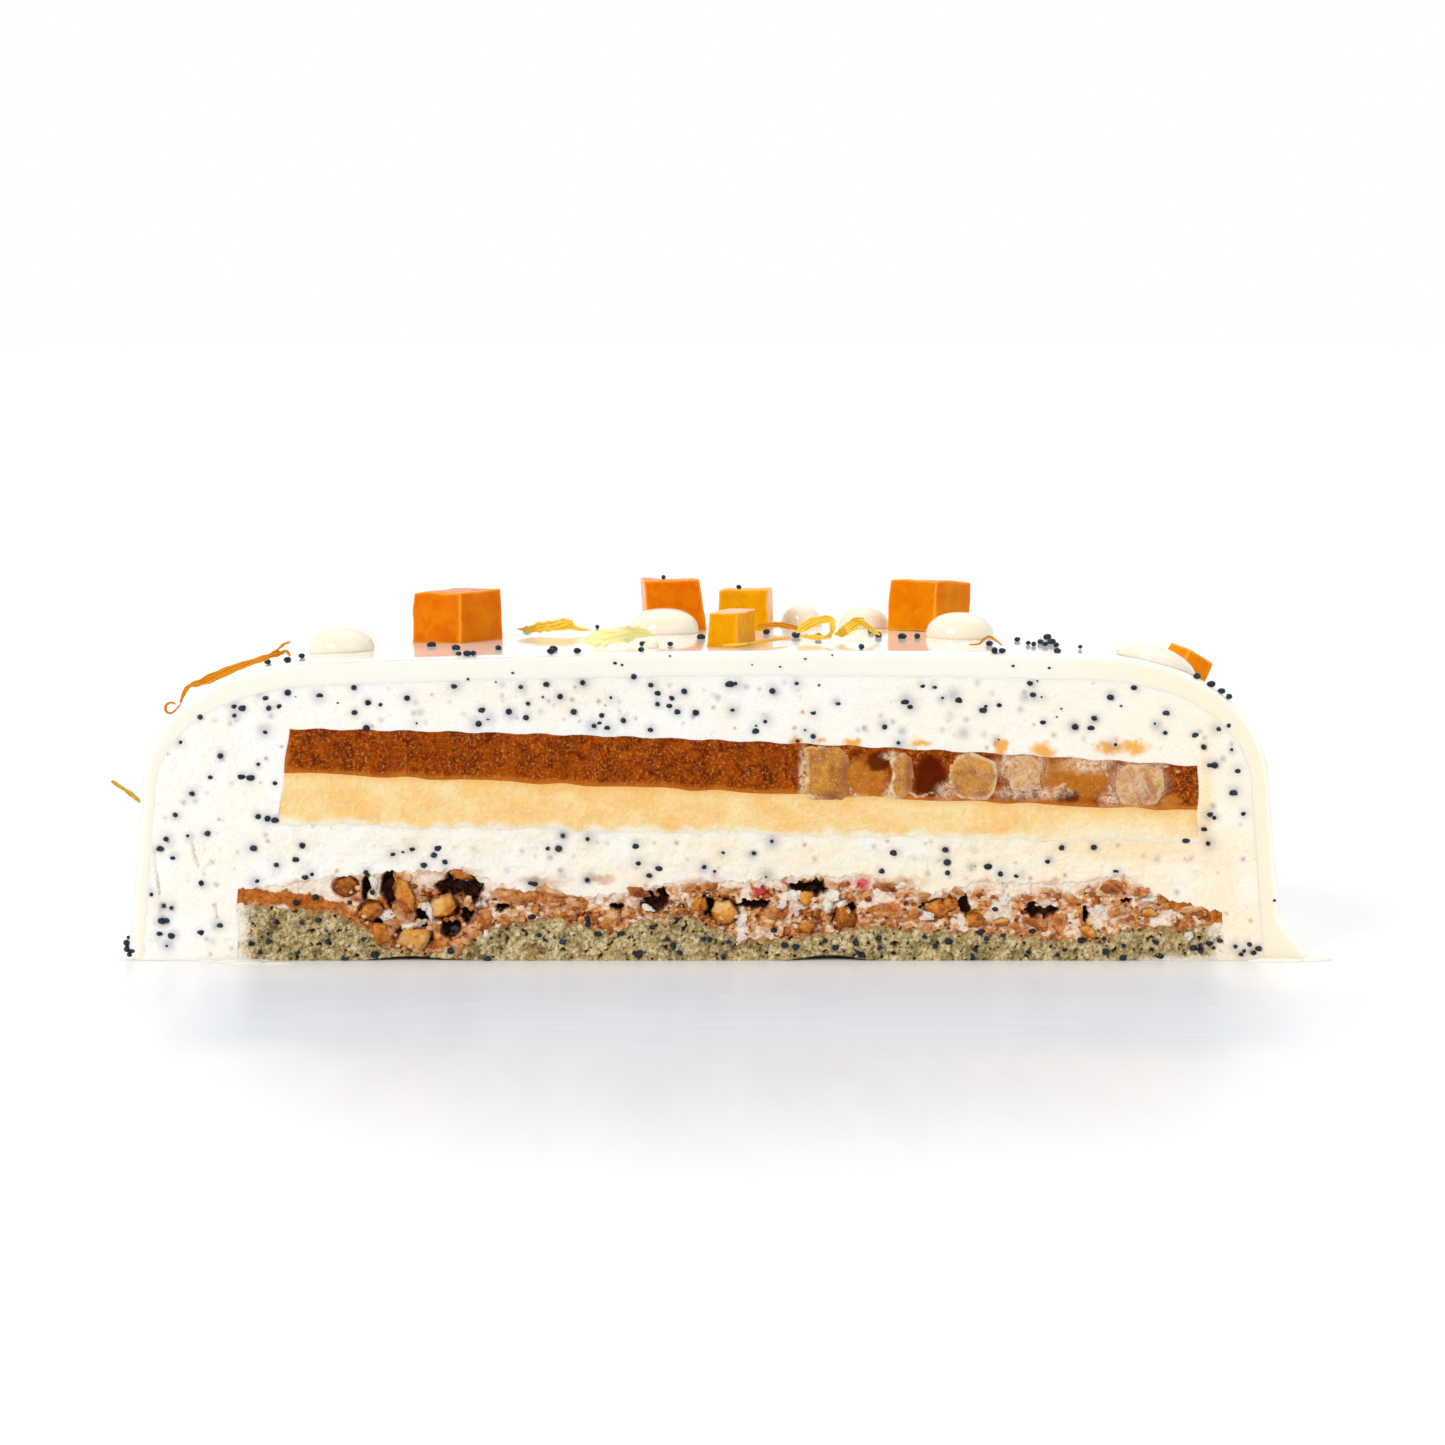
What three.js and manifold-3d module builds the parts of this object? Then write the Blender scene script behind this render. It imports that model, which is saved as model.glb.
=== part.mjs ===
// Half of a round mousse cake with poppy seeds and apricot, cut straight through its middle.
// Units are millimetres and +Z is up. The shapes are worked out in cake coordinates: x runs along
// the cut, y is how far a point lies behind the cut, z is the height over the table, and the axis
// of the whole cake is x = 0, y = 0. The finished group is then moved so that its origin lies
// under the middle of the half cake.
import * as THREE from 'three';
import { mergeVertices } from 'three/addons/utils/BufferGeometryUtils.js';
import { RoundedBoxGeometry } from 'three/addons/geometries/RoundedBoxGeometry.js';
import Module from 'manifold-3d';

const wasm = await Module();
wasm.setup();

// Outline of the whole cake, read along a radius
const BASE_RADIUS = 91;
const SIDE_TOP_RADIUS = 88.9;
const SIDE_TOP_HEIGHT = 25.5;
const SHOULDER_START_RADIUS = 58;
const SHOULDER_POWER = 2.25;
const CAKE_HEIGHT = 48.9;
const CROWN_FALL = 1.1;
const CROWN_RADIUS = 61;
const LOWER_EDGE_RADIUS = 2;
const LEAN = 0.008; // the right side stands a little higher than the left
const ORIGIN_BEHIND_CUT = 45;

// Neighbouring pieces keep this gap
const GAP = 0.3;

// White glaze
const GLAZE_ON_TOP = 3.9;
const GLAZE_ON_SIDE = 2.6;
const FOOT_REACH = 9;
const FOOT_HEIGHT = 6.5;

// Apricot insert: brown jelly over pale cream, set a little off the middle
const INSERT_RADIUS = 71.8;
const INSERT_CENTRE_X = 5.7;

// Almond crunch over poppy seed sponge
const SPONGE_RADIUS = 77.7;
const SPONGE_CENTRE_X = 3.9;
const CUT_LINE_DEPTH = 14; // the cut's own line fades into the layer's mean level behind it

// Mesh fineness
const ROUND_STEPS = 48;
const SHOULDER_STEPS = 7;
const LARGE_NUT = 2.1; // nuts at least this wide get the finer ball
const FINE_GRID = { columns: 40, rows: 3 };
const SMOOTH_GRID = { columns: 8, rows: 1 };
const SLAB_WIDTH = 172;
const SLAB_DEPTH = 92;

// Poppy seeds
const SEED_RADII = [0.68, 0.5, 0.52];
const MOUSSE_SEEDS = 84;
const SPONGE_SEEDS = 24;
const RIM_SEEDS = 22;

// Heights of the layers along the cut, as [x, z] corners; between them the line is straight
const CRUNCH_TOP = [
  [-74.3, 11.2], [-66, 12.2], [-58.9, 13.3], [-50.3, 14.1], [-39.8, 14.4], [-34.6, 13.0],
  [-29.1, 11.0], [-24.4, 12.2], [-20.8, 10.0], [-14, 10.7], [-6.2, 12.2], [6.2, 12.6],
  [16.9, 13.6], [24.4, 13.3], [32.2, 12.2], [35.5, 10.7], [44.2, 12.7], [54.5, 12.1],
  [65.8, 13.5], [72.6, 9.9], [81, 7.7],
];
const SPONGE_TOP = [
  [-74.3, 9.0], [-64.6, 8.3], [-58, 7.8], [-54, 5.6], [-50.5, 1.9], [-44, 1.3],
  [-38, 2.6], [-34.5, 5.0], [-30.5, 6.0], [-23.9, 7.1], [-14.8, 4.4], [-8.4, 7.1],
  [-3.1, 7.5], [5.9, 3.4], [15.3, 3.8], [24.4, 5.5], [36.2, 5.0], [49.7, 4.2],
  [60.3, 3.2], [68.5, 5.3], [81, 5.8],
];
const CRUNCH_TOP_MEAN = 12;
const SPONGE_TOP_MEAN = 6;

// Hollows between the nuts at the cut: [x, z, half width, half height]
const CRUNCH_HOLLOWS = [
  [-49.3, 11.2, 1.5, 2.1],
  [-38.5, 11.6, 3.3, 1.5],
  [-8.3, 9.0, 2.0, 1.0],
  [16.5, 11.2, 2.8, 1.1],
  [53.0, 8.4, 2.3, 1.2],
];

// Broken almonds that stand out at the cut: [x, z, half width, half height]
const CRUNCH_NUTS = [
  [-56.3, 11.4, 1.7, 1.5],
  [-46.6, 9.2, 1.8, 2.8],
  [-52.6, 8.0, 1.9, 1.4],
  [-46.4, 3.7, 3.0, 1.9],
  [-41.3, 8.0, 2.4, 2.1],
  [-34.0, 9.0, 2.0, 2.6],
  [-20.5, 8.6, 1.9, 1.1],
  [3.9, 8.4, 1.8, 2.0],
  [12.0, 8.0, 2.2, 1.8],
  [22.0, 8.2, 2.0, 2.0],
  [30.0, 9.3, 2.2, 1.7],
  [41.0, 9.2, 2.6, 1.8],
  [59.5, 9.8, 2.2, 1.8],
  [67.5, 9.6, 2.4, 2.0],
];

// Apricot pieces set in the jelly: [x, z, half width, half height]
const FRUIT_PIECES = [
  [19.0, 29.4, 3.6, 4.0],
  [30.7, 28.9, 2.0, 3.7],
  [41.9, 28.8, 3.9, 3.4],
  [50.0, 29.2, 2.9, 3.2],
  [68.3, 27.7, 3.9, 3.2],
];
const FRUIT_DEPTH = 8;

// Apricot jelly dice on top; turn is about the upright axis in degrees
const DICE = [
  { x: -40.4, y: 33.4, size: [10.4, 10.8, 8.3], turn: -38 },
  { x: -5.2, y: 55.0, size: [9.8, 9.6, 8.4], turn: 5 },
  { x: 6.6, y: 53.5, size: [8.4, 8.0, 6.8], turn: -7 },
  { x: 4.1, y: 12.1, size: [5.0, 9.3, 5.6], turn: -20 },
  { x: 36.8, y: 51.5, size: [10.0, 9.9, 8.4], turn: -39 },
  { x: 76.2, y: 17.5, size: [5.8, 5.8, 3.6], turn: 30 },
];
const DICE_CORNER = 0.7;
const DICE_TAPER = 0.05;

// Drops of clear glaze on top
const DROPS = [
  { x: -58.4, y: 18.6, radius: 5.3, height: 3.4 },
  { x: -7.0, y: 42.0, radius: 5.9, height: 3.7 },
  { x: 15.9, y: 61.0, radius: 3.4, height: 3.2 },
  { x: 26.2, y: 58.0, radius: 4.2, height: 3.1 },
  { x: 41.2, y: 32.0, radius: 5.4, height: 3.7 },
  { x: 71.2, y: 6.8, radius: 6.4, height: 2.2 },
];
const DROP_SIDES = 12;
const DROP_RINGS = 3;

// Dried flower petals, each along a route of [x, y, lift of its middle over the glaze, width]
const PETALS = [
  [[-82.7, 3, 0.4, 0.4], [-82.1, 3, 1.8, 0.6], [-81, 3, 1.8, 0.9], [-79, 3, 1.1, 1.2], [-76.9, 3, 0.9, 1.2],
    [-73.5, 3, 0.9, 1], [-70, 3, 1, 0.9], [-67.5, 3, 1.3, 0.8], [-65.5, 3, 1.6, 0.5]],
  [[-89.3, 8, -1.4, 0.6], [-91.6, 8, 0.4, 0.8], [-94.2, 8, 2.2, 0.6]],
  [[-31, 43, 0.8, 0.4], [-29, 43, 0.7, 0.9], [-27, 43, 1.1, 1.9], [-24.9, 43, 1.2, 2], [-22.9, 43, 1.4, 2],
    [-21.4, 43, 0.7, 0.7], [-19.2, 42, 0.4, 0.4]],
  [[-19.3, 8.5, 0.7, 0.7], [-18, 9, 1.1, 1.9], [-16.1, 9.5, 1.4, 2.9], [-14.4, 10.5, 1.5, 3],
    [-12.7, 12, 1.5, 2.8], [-11.3, 14.5, 1.5, 2.3], [-9.9, 17.5, 1.3, 1.6], [-8.5, 20, 0.8, 0.5]],
  [[8.5, 44, 0.6, 0.5], [9.7, 44, 0.8, 0.7], [12.1, 43, 0.9, 0.8], [14.4, 40, 0.6, 0.6], [15.5, 38, 0.5, 0.4]],
  [[14.5, 25, 0.7, 0.5], [15.6, 24, 1.6, 1.1], [17.4, 23, 2.6, 1.2], [19.8, 22, 3.1, 1], [20.3, 19.5, 2.1, 0.9],
    [19.6, 16.5, 0.7, 0.7], [17.3, 17.5, 0.5, 0.7], [15, 21, 0.5, 0.5]],
  [[20.6, 22, 0.5, 0.5], [21.9, 22, 0.8, 1.2], [23, 22, 1.8, 1.2], [24.5, 23, 2.6, 1], [25.8, 24, 2, 0.8],
    [27.1, 25, 1, 0.6], [28.1, 25, 0.4, 0.4]],
  [[2.8, 4.5, 0.3, 0.4], [6.5, 6, 0.4, 0.4], [10.2, 12, 0.4, 0.5], [13.2, 17.5, 0.4, 0.4]],
  [[41.7, 8, 0.3, 0.3], [43.2, 8.5, 0.4, 0.3], [44, 9.5, 1, 0.4], [44.9, 10, 1.5, 0.4], [45.9, 9, 1, 0.4],
    [46.8, 7, 0.4, 0.3]],
];
const PETAL_LEAN = 0.45; // how far a petal's upper edge lies back, as a share of its height
const PETAL_THICKNESS = 0.4;
const PETAL_WIDTH_STEPS = 2;

// Poppy seeds scattered on top in loose clusters: [x, y, spread, count]
const TOP_SEEDS = [
  [-66, 4, 2.5, 3], [-44, 14, 3, 2], [-37, 13, 3.5, 4], [-25, 14, 5, 2], [-12, 8, 5, 2],
  [-2, 32, 4, 2], [13, 47, 4, 4], [19, 33, 3, 2], [24, 14, 3, 2], [33, 38, 3, 2],
  [44, 9, 2.5, 3], [53, 27, 2.2, 3], [58, 24, 2.0, 4], [65, 20, 3, 2], [79, 3, 3, 3],
  [-52, 46, 8, 2], [-20, 68, 8, 3], [18, 74, 8, 2], [55, 52, 8, 2],
];

// A repeatable row of numbers from 0 to 1
function seededRandom(seed) {
  let state = seed;
  return () => {
    state = (state + 0x6d2b79f5) | 0;
    let mixed = Math.imul(state ^ (state >>> 15), 1 | state);
    mixed = (mixed + Math.imul(mixed ^ (mixed >>> 7), 61 | mixed)) ^ mixed;
    return ((mixed ^ (mixed >>> 14)) >>> 0) / 4294967296;
  };
}

// Height of the line through [x, z] corners at a given x
function lineHeight(corners, x) {
  if (x <= corners[0][0]) return corners[0][1];
  for (let i = 1; i < corners.length; i += 1) {
    const [x0, z0] = corners[i - 1];
    const [x1, z1] = corners[i];
    if (x <= x1) return z0 + ((z1 - z0) * (x - x0)) / (x1 - x0);
  }
  return corners[corners.length - 1][1];
}

// Heights of the layer faces, each a function of the place
const jellyTop = (x) => 34.98 - 0.0389 * x - 0.000193 * x * x;
const jellyBottom = (x) => 27.0 - 0.042 * x;
const creamBottom = (x) => 20.2 - 0.02 * x;

function fadedLine(corners, mean, x, y) {
  const nearCut = Math.exp(-((y / CUT_LINE_DEPTH) ** 2));
  const wave = Math.sin(0.21 * x + 0.4 * y) * 0.6 + Math.sin(0.13 * x - 0.31 * y) * 0.5;
  return nearCut * lineHeight(corners, x) + (1 - nearCut) * (mean + wave);
}
const crunchTop = (x, y) => fadedLine(CRUNCH_TOP, CRUNCH_TOP_MEAN, x, y);
const spongeTop = (x, y) => fadedLine(SPONGE_TOP, SPONGE_TOP_MEAN, x, y);

// Height of the cake's outer surface at a radius, for a body set in by the given amounts
function outlineHeight(radius, sideInset, topInset) {
  const shoulderTop = CAKE_HEIGHT - CROWN_FALL * (SHOULDER_START_RADIUS / CROWN_RADIUS) ** 2;
  if (radius <= SHOULDER_START_RADIUS) {
    return CAKE_HEIGHT - topInset - CROWN_FALL * (radius / CROWN_RADIUS) ** 2;
  }
  const reach = SIDE_TOP_RADIUS - sideInset - SHOULDER_START_RADIUS;
  const rise = shoulderTop - topInset - SIDE_TOP_HEIGHT;
  const across = Math.min(1, (radius - SHOULDER_START_RADIUS) / reach);
  return SIDE_TOP_HEIGHT + rise * (1 - across ** SHOULDER_POWER) ** (1 / SHOULDER_POWER);
}

const leaning = (x, z) => z * (1 + (LEAN * x) / CAKE_HEIGHT);

const glazeHeight = (x, y) => leaning(x, outlineHeight(Math.hypot(x, y), 0, 0));

function moveVertices(geometry, place) {
  const position = geometry.attributes.position;
  for (let i = 0; i < position.count; i += 1) {
    const [x, y, z] = place(position.getX(i), position.getY(i), position.getZ(i));
    position.setXYZ(i, x, y, z);
  }
  return geometry;
}

// Closed solid of a geometry, with shared vertices merged and empty triangles left out
function solidOf(geometry) {
  const bare = geometry.clone();
  bare.deleteAttribute('normal');
  bare.deleteAttribute('uv');
  const merged = mergeVertices(bare, 1e-4);
  const index = merged.index.array;
  const corners = [];
  for (let i = 0; i < index.length; i += 3) {
    const [a, b, c] = [index[i], index[i + 1], index[i + 2]];
    if (a !== b && b !== c && a !== c) corners.push(a, b, c);
  }
  return new wasm.Manifold(new wasm.Mesh({
    numProp: 3,
    vertProperties: new Float32Array(merged.attributes.position.array),
    triVerts: new Uint32Array(corners),
  }));
}

function geometryOf(solid) {
  const mesh = solid.getMesh();
  const geometry = new THREE.BufferGeometry();
  geometry.setAttribute('position', new THREE.BufferAttribute(new Float32Array(mesh.vertProperties), 3));
  geometry.setIndex(new THREE.BufferAttribute(new Uint32Array(mesh.triVerts), 1));
  geometry.computeVertexNormals();
  return geometry;
}

// A box given by its lowest and highest corners
function boxBetween(low, high) {
  const box = new THREE.BoxGeometry(high[0] - low[0], high[1] - low[1], high[2] - low[2]);
  box.translate((low[0] + high[0]) / 2, (low[1] + high[1]) / 2, (low[2] + high[2]) / 2);
  return solidOf(box);
}

const behindCut = boxBetween([-150, 0, -50], [150, 150, 100]);

// Turned body of the whole cake, set in from its outline
function turnedBody(sideInset, topInset, bottom, edgeRadius) {
  const profile = [new THREE.Vector2(0, bottom)];
  const lowRadius = BASE_RADIUS - sideInset;
  if (edgeRadius > 0) {
    profile.push(new THREE.Vector2(lowRadius - edgeRadius, bottom));
    profile.push(new THREE.Vector2(lowRadius - 0.3 * edgeRadius, bottom + 0.3 * edgeRadius));
    profile.push(new THREE.Vector2(lowRadius, bottom + edgeRadius));
  } else {
    profile.push(new THREE.Vector2(lowRadius, bottom));
  }
  profile.push(new THREE.Vector2(SIDE_TOP_RADIUS - sideInset, SIDE_TOP_HEIGHT));
  const reach = SIDE_TOP_RADIUS - sideInset - SHOULDER_START_RADIUS;
  for (let i = 1; i <= SHOULDER_STEPS; i += 1) {
    const turn = (i / SHOULDER_STEPS) * (Math.PI / 2);
    const radius = SHOULDER_START_RADIUS + reach * Math.cos(turn) ** (2 / SHOULDER_POWER);
    profile.push(new THREE.Vector2(radius, outlineHeight(radius, sideInset, topInset)));
  }
  for (const radius of [38, 18, 0]) {
    profile.push(new THREE.Vector2(radius, outlineHeight(radius, sideInset, topInset)));
  }
  const body = new THREE.LatheGeometry(profile, ROUND_STEPS);
  body.rotateX(Math.PI / 2);
  return solidOf(moveVertices(body, (x, y, z) => [x, y, leaning(x, z)]));
}

// Upright round column that trims a layer to its disc
function column(radius, centreX) {
  const geometry = new THREE.CylinderGeometry(radius, radius, 120, ROUND_STEPS);
  geometry.rotateX(Math.PI / 2);
  geometry.translate(centreX, 0, 0);
  return solidOf(geometry);
}

// Everything under a height function, down to a flat floor. Its rows stand closer together near
// the cut; with room in front, one more row carries the cut's own line forward.
function under(top, floor, roomInFront, grid) {
  const rows = grid.rows + (roomInFront > 0 ? 1 : 0);
  const geometry = new THREE.BoxGeometry(1, 1, 1, grid.columns, rows, 1);
  return solidOf(moveVertices(geometry, (x, y, z) => {
    const across = x * SLAB_WIDTH;
    const row = Math.round((y + 0.5) * rows) - (rows - grid.rows);
    const behind = SLAB_DEPTH * (Math.max(0, row) / grid.rows) ** 1.7;
    return [across, row < 0 ? -roomInFront : behind, z > 0 ? top(across, behind) : floor];
  }));
}

// A layer between two height functions, trimmed to its disc
function layer(bottom, top, disc, roomInFront, grid) {
  return under(top, -2, roomInFront, grid)
    .subtract(under(bottom, -4, roomInFront + 1, grid))
    .intersect(disc);
}

// Rough lump: a ball with few faces, squeezed to size and dented by a seeded draw
function lump(centre, halfSizes, detail, random, dent) {
  const ball = new THREE.IcosahedronGeometry(1, detail);
  ball.deleteAttribute('normal');
  ball.deleteAttribute('uv');
  const merged = mergeVertices(ball, 1e-4);
  const turned = new THREE.Euler(random() * 6.28, random() * 6.28, random() * 6.28);
  return solidOf(moveVertices(merged, (x, y, z) => {
    const point = new THREE.Vector3(x, y, z).applyEuler(turned);
    point.multiplyScalar(1 - dent * random());
    return [
      centre[0] + halfSizes[0] * point.x,
      centre[1] + halfSizes[1] * point.y,
      centre[2] + halfSizes[2] * point.z,
    ];
  }));
}

function seed(centre, random) {
  const grain = new THREE.IcosahedronGeometry(1, 0);
  const turned = new THREE.Euler(random() * 6.28, random() * 6.28, random() * 6.28);
  return solidOf(moveVertices(grain, (x, y, z) => {
    const point = new THREE.Vector3(x * SEED_RADII[0], y * SEED_RADII[1], z * SEED_RADII[2]);
    point.applyEuler(turned);
    return [point.x + centre[0], point.y + centre[1], point.z + centre[2]];
  }));
}

function joined(solids) {
  return wasm.Manifold.union(solids);
}

// Places for seeds in the cut face, no closer together than two seeds
function seedPlaces(count, box, allowed, random) {
  const places = [];
  for (let tries = 0; places.length < count && tries < 6000; tries += 1) {
    const x = box[0] + (box[2] - box[0]) * random();
    const z = box[1] + (box[3] - box[1]) * random();
    const free = places.every(([px, pz]) => Math.hypot(px - x, pz - z) > 1.7);
    if (free && allowed(x, z)) places.push([x, z]);
  }
  return places;
}

const seedsInCut = (places, random) => places.map(([x, z]) => seed([x, 0.1 + 0.15 * random(), z], random));

// Glaze: an open shell over the mousse, with its foot at the right end of the cut
function glazeSolid() {
  const outer = turnedBody(0, 0, 0, LOWER_EDGE_RADIUS);
  const inner = turnedBody(GLAZE_ON_SIDE, GLAZE_ON_TOP, -1, 0);
  const footProfile = [
    [0, 0], [FOOT_REACH, 0], [0.62 * FOOT_REACH, 0.8], [0.32 * FOOT_REACH, 2.9], [0, FOOT_HEIGHT],
  ];
  const foot = new THREE.LatheGeometry(footProfile.map(([r, z]) => new THREE.Vector2(r, z)), DROP_SIDES);
  foot.rotateX(Math.PI / 2);
  foot.translate(BASE_RADIUS - 0.6, 3, 0);
  const shell = outer.add(solidOf(foot)).subtract(inner).intersect(behindCut);
  const random = seededRandom(11);
  const seeds = [];
  for (const [x, y, spread, count] of TOP_SEEDS) {
    for (let i = 0; i < count; i += 1) {
      const turn = random() * Math.PI * 2;
      const away = spread * Math.sqrt(random());
      const place = [x + away * Math.cos(turn), Math.max(1, y + away * Math.sin(turn))];
      const height = glazeHeight(place[0], place[1]);
      if (clearOfToppings(place[0], place[1])) seeds.push(seed([...place, height + 0.15], random));
    }
  }
  for (let i = 0; i < RIM_SEEDS; i += 1) {
    const turn = Math.PI * (1 - 0.015 - (0.86 * (i + 0.5 * random())) / RIM_SEEDS);
    const height = LOWER_EDGE_RADIUS + 0.4 + 2.2 * random() ** 2;
    const reach = BASE_RADIUS - 0.2;
    seeds.push(seed([reach * Math.cos(turn), reach * Math.sin(turn), height], random));
  }
  return joined([shell, ...seeds]);
}

// True where a seed on top touches neither dice, drops nor petals
function clearOfToppings(x, y) {
  const farFrom = (topping, reach) => Math.hypot(topping.x - x, topping.y - y) > reach + 1;
  const petalFree = PETALS.every((points) => points.every(
    ([px, py, , width]) => Math.hypot(px - x, py - y) > width / 2 + 1.4,
  ));
  return petalFree
    && DICE.every((die) => farFrom(die, Math.hypot(die.size[0], die.size[1]) / 2))
    && DROPS.every((drop) => farFrom(drop, drop.radius));
}

// True where a seed in the mousse keeps clear of the glaze, the insert, the crunch and the sponge
function inMousse(x, z) {
  const room = 1.2;
  const underGlaze = z < leaning(x, outlineHeight(Math.abs(x), GLAZE_ON_SIDE, GLAZE_ON_TOP)) - room
    && Math.abs(x) < SIDE_TOP_RADIUS - GLAZE_ON_SIDE - room;
  const inInsert = Math.abs(x - INSERT_CENTRE_X) < INSERT_RADIUS + room
    && z < jellyTop(x) + room && z > creamBottom(x) - room;
  const inBase = Math.abs(x - SPONGE_CENTRE_X) < SPONGE_RADIUS + room && z < crunchTop(x, 0) + room + 0.2;
  const nearFruit = FRUIT_PIECES.some(([fx, fz, halfWidth, halfHeight]) => (
    Math.abs(x - fx) < halfWidth + room && Math.abs(z - fz) < halfHeight + room
  ));
  return underGlaze && !inInsert && !inBase && !nearFruit && z > room;
}

function fruitSolids(extra) {
  const random = seededRandom(31);
  return FRUIT_PIECES.map(([x, z, halfWidth, halfHeight]) => {
    const sizes = [halfWidth + extra, FRUIT_DEPTH + extra, halfHeight + extra];
    return lump([x, 0, z], sizes, 1, random, 0.08).intersect(behindCut);
  });
}

function mousseSolid() {
  const body = turnedBody(GLAZE_ON_SIDE + GAP, GLAZE_ON_TOP + GAP, 0, 0).intersect(behindCut);
  const insertDisc = column(INSERT_RADIUS + GAP, INSERT_CENTRE_X);
  const insertBottom = (x) => creamBottom(x) - GAP;
  const insertTop = (x) => jellyTop(x) + GAP;
  const insertSpace = layer(insertBottom, insertTop, insertDisc, 1, SMOOTH_GRID);
  const baseSpace = under((x, y) => crunchTop(x, y) + GAP, -1, 1, FINE_GRID)
    .intersect(column(SPONGE_RADIUS + GAP, SPONGE_CENTRE_X));
  const random = seededRandom(21);
  const places = seedPlaces(MOUSSE_SEEDS, [-88, 0, 88, CAKE_HEIGHT], inMousse, random);
  const hollowed = body.subtract(insertSpace).subtract(baseSpace).subtract(joined(fruitSolids(GAP)));
  return joined([hollowed, ...seedsInCut(places, random)]);
}

function jellySolid() {
  const bottom = (x) => jellyBottom(x) + GAP / 2;
  return layer(bottom, jellyTop, column(INSERT_RADIUS, INSERT_CENTRE_X), 0, SMOOTH_GRID)
    .subtract(joined(fruitSolids(GAP)));
}

function creamSolid() {
  const top = (x) => jellyBottom(x) - GAP / 2;
  return layer(creamBottom, top, column(INSERT_RADIUS, INSERT_CENTRE_X), 0, SMOOTH_GRID)
    .subtract(joined(fruitSolids(GAP)));
}

// Crunch: a bumpy slab with hollows at the cut, and the nuts that show standing out of it
function crunchSolid() {
  const bottom = (x, y) => spongeTop(x, y) + GAP;
  const disc = column(SPONGE_RADIUS, SPONGE_CENTRE_X);
  const core = layer(bottom, crunchTop, disc, 0, FINE_GRID);
  const room = layer(bottom, crunchTop, disc, 3, FINE_GRID);
  const random = seededRandom(41);
  const nuts = CRUNCH_NUTS.map(([x, z, halfWidth, halfHeight]) => (
    lump([x, 0.6, z], [halfWidth, 1.9, halfHeight], halfWidth < LARGE_NUT ? 0 : 1, random, 0.16)
  ));
  const hollows = CRUNCH_HOLLOWS.map(([x, z, halfWidth, halfHeight]) => (
    lump([x, 0, z], [halfWidth, 4, halfHeight], 1, random, 0.2)
  ));
  return core.subtract(joined(hollows)).add(joined(nuts)).intersect(room);
}

function spongeSolid() {
  const disc = column(SPONGE_RADIUS, SPONGE_CENTRE_X);
  const base = under(spongeTop, 0, 0, FINE_GRID).intersect(disc);
  const random = seededRandom(51);
  const inSponge = (x, z) => z > 1 && z < spongeTop(x, 0) - 1.1;
  const reach = SPONGE_RADIUS - 1.5;
  const box = [SPONGE_CENTRE_X - reach, 0, SPONGE_CENTRE_X + reach, 9];
  const places = seedPlaces(SPONGE_SEEDS, box, inSponge, random);
  return joined([base, ...seedsInCut(places, random)]);
}

function dieGeometry([width, depth, height]) {
  const block = new RoundedBoxGeometry(width, depth, height, 1, DICE_CORNER);
  block.translate(0, 0, height / 2);
  return moveVertices(block, (x, y, z) => {
    const narrower = 1 - (DICE_TAPER * z) / height;
    return [x * narrower, y * narrower, z];
  });
}

function dropGeometry(radius, height) {
  const profile = [new THREE.Vector2(0, 0), new THREE.Vector2(0.9 * radius, 0)];
  for (let i = 0; i <= DROP_RINGS; i += 1) {
    const turn = (i / DROP_RINGS) * (Math.PI / 2);
    profile.push(new THREE.Vector2(radius * Math.cos(turn), height * (0.18 + 0.82 * Math.sin(turn))));
  }
  profile[profile.length - 1].x = 0;
  const dome = new THREE.LatheGeometry(profile, DROP_SIDES);
  dome.rotateX(Math.PI / 2);
  return dome;
}

// Petal: a thin ruffled strip that stands on edge along its route, its upper edge lying back
function petalGeometry(points) {
  const route = new THREE.CatmullRomCurve3(points.map(([x, y, lift]) => (
    new THREE.Vector3(x, y, glazeHeight(x, y) + lift + GAP)
  )));
  const strip = new THREE.BoxGeometry(1, 1, 1, points.length + 2, PETAL_WIDTH_STEPS, 1);
  const backwards = new THREE.Vector3(0, 1, 0);
  return moveVertices(strip, (x, y, z) => {
    const along = x + 0.5;
    const place = along * (points.length - 1);
    const part = Math.min(Math.floor(place), points.length - 2);
    const width = THREE.MathUtils.lerp(points[part][3], points[part + 1][3], place - part);
    const middle = route.getPoint(along);
    const tangent = route.getTangent(along);
    const across = new THREE.Vector3().crossVectors(tangent, backwards).normalize();
    across.addScaledVector(backwards, PETAL_LEAN).normalize();
    const normal = new THREE.Vector3().crossVectors(tangent, across).normalize();
    const ruffle = 0.12 * width * Math.sin(9 * along + 5 * y) * Math.abs(2 * y);
    return middle.addScaledVector(across, y * width)
      .addScaledVector(normal, ruffle + z * PETAL_THICKNESS)
      .toArray();
  });
}

function piece(name, geometry, colour, roughness) {
  const material = new THREE.MeshStandardMaterial({ color: colour, roughness, metalness: 0 });
  const mesh = new THREE.Mesh(geometry, material);
  mesh.name = name;
  return mesh;
}

// Sets a piece down on the glaze, square to the surface there
function setOnGlaze(mesh, x, y, turn) {
  const step = 0.5;
  const slopeX = (glazeHeight(x + step, y) - glazeHeight(x - step, y)) / (2 * step);
  const slopeY = (glazeHeight(x, y + step) - glazeHeight(x, y - step)) / (2 * step);
  const normal = new THREE.Vector3(-slopeX, -slopeY, 1).normalize();
  mesh.position.set(x, y, glazeHeight(x, y)).addScaledVector(normal, GAP);
  mesh.quaternion.setFromUnitVectors(new THREE.Vector3(0, 0, 1), normal);
  mesh.rotateZ(THREE.MathUtils.degToRad(turn));
  return mesh;
}

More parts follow.
